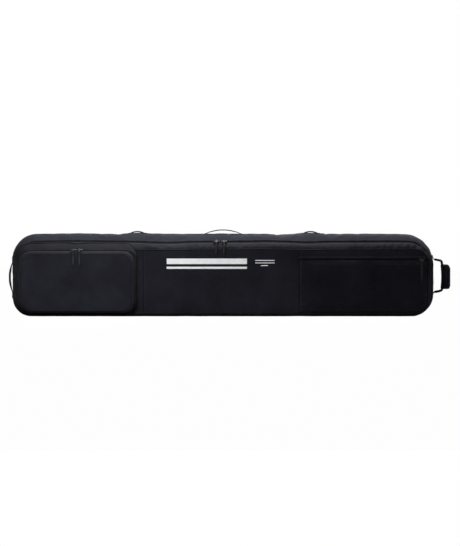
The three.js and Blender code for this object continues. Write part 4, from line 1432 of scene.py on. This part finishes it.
# Lash tab: a short folded strip sewn across the top.
low, high = box_of("lash_tab")
xs = np.linspace(low[0], high[0], 40)
zs = low[2] + 0.0004 + 0.0012 * hump(np.linspace(0, 1, 40), 0.5, 0.22) + waves(xs, TOP_WAVES) * 0.8
tab = webbing("lash_tab_webbing", straight(xs, (low[1] + high[1]) / 2, zs), (0, 1, 0), 0.026)
rode(tab, "shell")
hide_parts("lash_tab")
sewn = []
for k in (0.05, 0.13, 0.87, 0.95):
    x = low[0] + (high[0] - low[0]) * k
    line = straight(x, np.linspace(low[1] + 0.002, high[1] - 0.002, 9), float(np.interp(x, xs, zs)) + 0.0013)
    sewn.append(stitches("sewn", line, np.tile((0, 0, 1), (9, 1)), pitch=0.0032, length=0.0022))
rode(joined("lash_tab_sewing", sewn), "shell")

# ---- Inside: quilted pads, tie-down straps, hinge binding -------------------------------------------
QUILT_PITCH = 0.072


def quilted_pad(name, nodes, body, side):
    """A padded lining, quilted in long lozenges, closed at its rim, with its flat side to the panel.
    side is the way it faces along Y."""
    corners = [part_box(n) for n in nodes]
    low = np.array([min(c[0][k] for c in corners) for k in range(3)])
    high = np.array([max(c[1][k] for c in corners) for k in range(3)])
    wall, room = (high[1], low[1]) if side < 0 else (low[1], high[1])
    radii = mm(44, 50, 40, 40)
    shape = Form((low[0], high[0], low[2], high[2]), [(0, 0, 0, 0, 0), (1, 0, 0, 0, 0)], radii, radii)
    P, away = shape.face(0)
    x, z = P[..., 0], P[..., 2]
    a, b = (x + 1.6 * z) / QUILT_PITCH, (x - 1.6 * z) / QUILT_PITCH
    quilt = (abs(np.sin(math.pi * a)) * abs(np.sin(math.pi * b))) ** 0.38
    rise = abs(room - wall) * above(away, 0, 0.012) ** 0.5 * (0.40 + 0.60 * quilt)
    P[..., 1] = wall + np.sign(room - wall) * rise
    pad = cloth(name, P, np.array([0, side, 0]), body, LINING, 0.001, planar=(0, 2))
    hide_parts(*nodes)


quilted_pad("back_quilted_lining", ("back_foam", "back_lining"), "shell", -1)
quilted_pad("front_quilted_lining", ("front_foam", "front_lining"), "lid", 1)

# Bars of a side-release buckle, as low and high corner in shares of its half sizes, and rounding.
BUCKLE_BARS = [
    ((-1, -1, -1), (1, 0.6, -0.52), 0.0018), ((-1, -1, 0.52), (1, 0.6, 1), 0.0018),
    ((-1, -1, -0.55), (-0.72, 0.6, 0.55), 0.0016), ((0.72, -1, -0.55), (1, 0.6, 0.55), 0.0016),
    ((-0.55, -0.9, -0.75), (-0.34, 0.2, 0.6), 0.0014), ((0.34, -0.9, -0.75), (0.55, 0.2, 0.6), 0.0014),
    ((-0.16, -0.9, -0.75), (0.16, 0.2, 0.45), 0.0012),
]
for side in ("left", "right"):
    low, high = box_of("tie_down_strap_" + side)
    zs = np.linspace(low[2], high[2], 60)
    slack = 0.0012 * np.sin(np.linspace(0, math.pi, 60))
    ys = (low[1] + high[1]) / 2 - slack - 0.0008 * hump(zs, 0.144, 0.03)
    line = straight((low[0] + high[0]) / 2, ys, zs)
    strap = rode(webbing("tie_down_webbing_" + side, line, (1, 0, 0), 0.0375, 0.0016), "shell")
    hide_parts("tie_down_strap_" + side)
    low, high = box_of("tie_down_buckle_" + side)
    half = (high - low) / 2
    parts = [placed(rounded_block(half * start, half * end, radius, BUCKLE), (low + high) / 2, *np.eye(3))
             for start, end, radius in BUCKLE_BARS]
    buckle = rode(joined("tie_down_side_release_" + side, parts), "shell")
    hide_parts("tie_down_buckle_" + side)

low, high = box_of("hinge_binding")
path = straight(np.linspace(low[0], high[0], 120), (low[1] + high[1]) / 2 + 0.0008, (low[2] + high[2]) / 2)
binding = rode(swept("hinge_tape", path, band(0.0032, 0.0012), (0, 0.35, 1), BINDING), "shell")
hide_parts("hinge_binding")

# ---- Pocket and sleeve pieces, their modifiers applied, on meshes of their own --------------------
KEEP = {"boot_pocket": 0.30, "pocket_": 0.30, "sleeve_": 0.55}  # starts of names, each with a share of its depth
for piece in list(bpy.context.scene.objects):
    keep = next((share for start, share in KEEP.items() if piece.name.startswith(start)), None)
    if keep is None or piece.type != "MESH" or "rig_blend" in piece or "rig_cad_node" in piece:
        continue
    settled_mesh(piece)
    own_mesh(piece)

# ---- Floor, light and camera ------------------------------------------------------------------------
scene = bpy.context.scene
scene.view_settings.view_transform = "Standard"
scene.view_settings.look = "None"

FILL = 0.022  # the white surround as a light; the camera sees it at 1
world = bpy.data.worlds.new("studio")
scene.world = world
world.use_nodes = True
tree = world.node_tree
background = tree.nodes["Background"]
background.inputs["Color"].default_value = (1.0, 1.0, 1.0, 1)
path_kind = node(tree, "LightPath")
level = maths(tree, "MULTIPLY_ADD", path_kind.outputs["Is Camera Ray"], 1.0 - FILL)
level.node.inputs[2].default_value = FILL
tree.links.new(level, background.inputs["Strength"])

floor_material, tree, floor_shader = new_material("pale_floor", 0.9, specular=0.0)
floor_shader.inputs["Base Color"].default_value = (0.25, 0.25, 0.25, 1)
glow = node(tree, "Emission")
glow.inputs["Color"].default_value = (1.0, 1.0, 1.0, 1)
blend = node(tree, "MixShader")
seen = maths(tree, "MULTIPLY", node(tree, "LightPath").outputs["Is Camera Ray"], 0.985)
tree.links.new(seen, blend.inputs[0])
tree.links.new(floor_shader.outputs[0], blend.inputs[1])
tree.links.new(glow.outputs[0], blend.inputs[2])
tree.links.new(blend.outputs[0], tree.nodes["Material Output"].inputs["Surface"])
corners = [(-9, -9, 0), (9, -9, 0), (9, 9, 0), (-9, 9, 0)]
floor = build("floor", corners, [(0, 1, 2, 3)], materials=[floor_material])


def area_light(name, place, target, width, height, power):
    """A lamp with a rectangular face, turned to a target and not seen by the camera."""
    light = bpy.data.lights.new(name, "AREA")
    light.shape, light.size, light.size_y, light.energy = "RECTANGLE", width, height, power
    lamp = bpy.data.objects.new(name, light)
    scene.collection.objects.link(lamp)
    lamp.location = place
    lamp.visible_camera = False
    lamp.rotation_mode = "QUATERNION"
    lamp.rotation_quaternion = (Vector(target) - Vector(place)).to_track_quat("-Z", "Y")


area_light("top_softbox", (0.03, 0.20, 1.8), (0.03, 0.0, 0.2), 1.0, 0.7, 85)
area_light("front_softbox", (-0.80, -1.30, 0.75), (-0.45, 0.0, 0.20), 0.7, 0.5, 21)
area_light("side_softbox", (2.6, -0.35, 0.55), (0.8, 0.0, 0.20), 0.4, 0.4, 14)
area_light("back_softbox", (1.0, 3.2, 1.8), (0.0, 0.0, 0.16), 2.4, 1.2, 70)

SIGHT = Vector((0.0282, 0.0, 0.173))  # what the camera looks at
ELEVATION = math.radians(1.2)
DISTANCE = 18.29
camera_data = bpy.data.cameras.new("camera")
camera_data.lens, camera_data.sensor_width = 300.0, 36.0
camera_data.clip_end = 60
camera = bpy.data.objects.new("camera", camera_data)
scene.collection.objects.link(camera)
camera.location = SIGHT + DISTANCE * Vector((0, -math.cos(ELEVATION), math.sin(ELEVATION)))
camera.rotation_mode = "QUATERNION"
camera.rotation_quaternion = (SIGHT - camera.location).to_track_quat("-Z", "Y")
scene.camera = camera
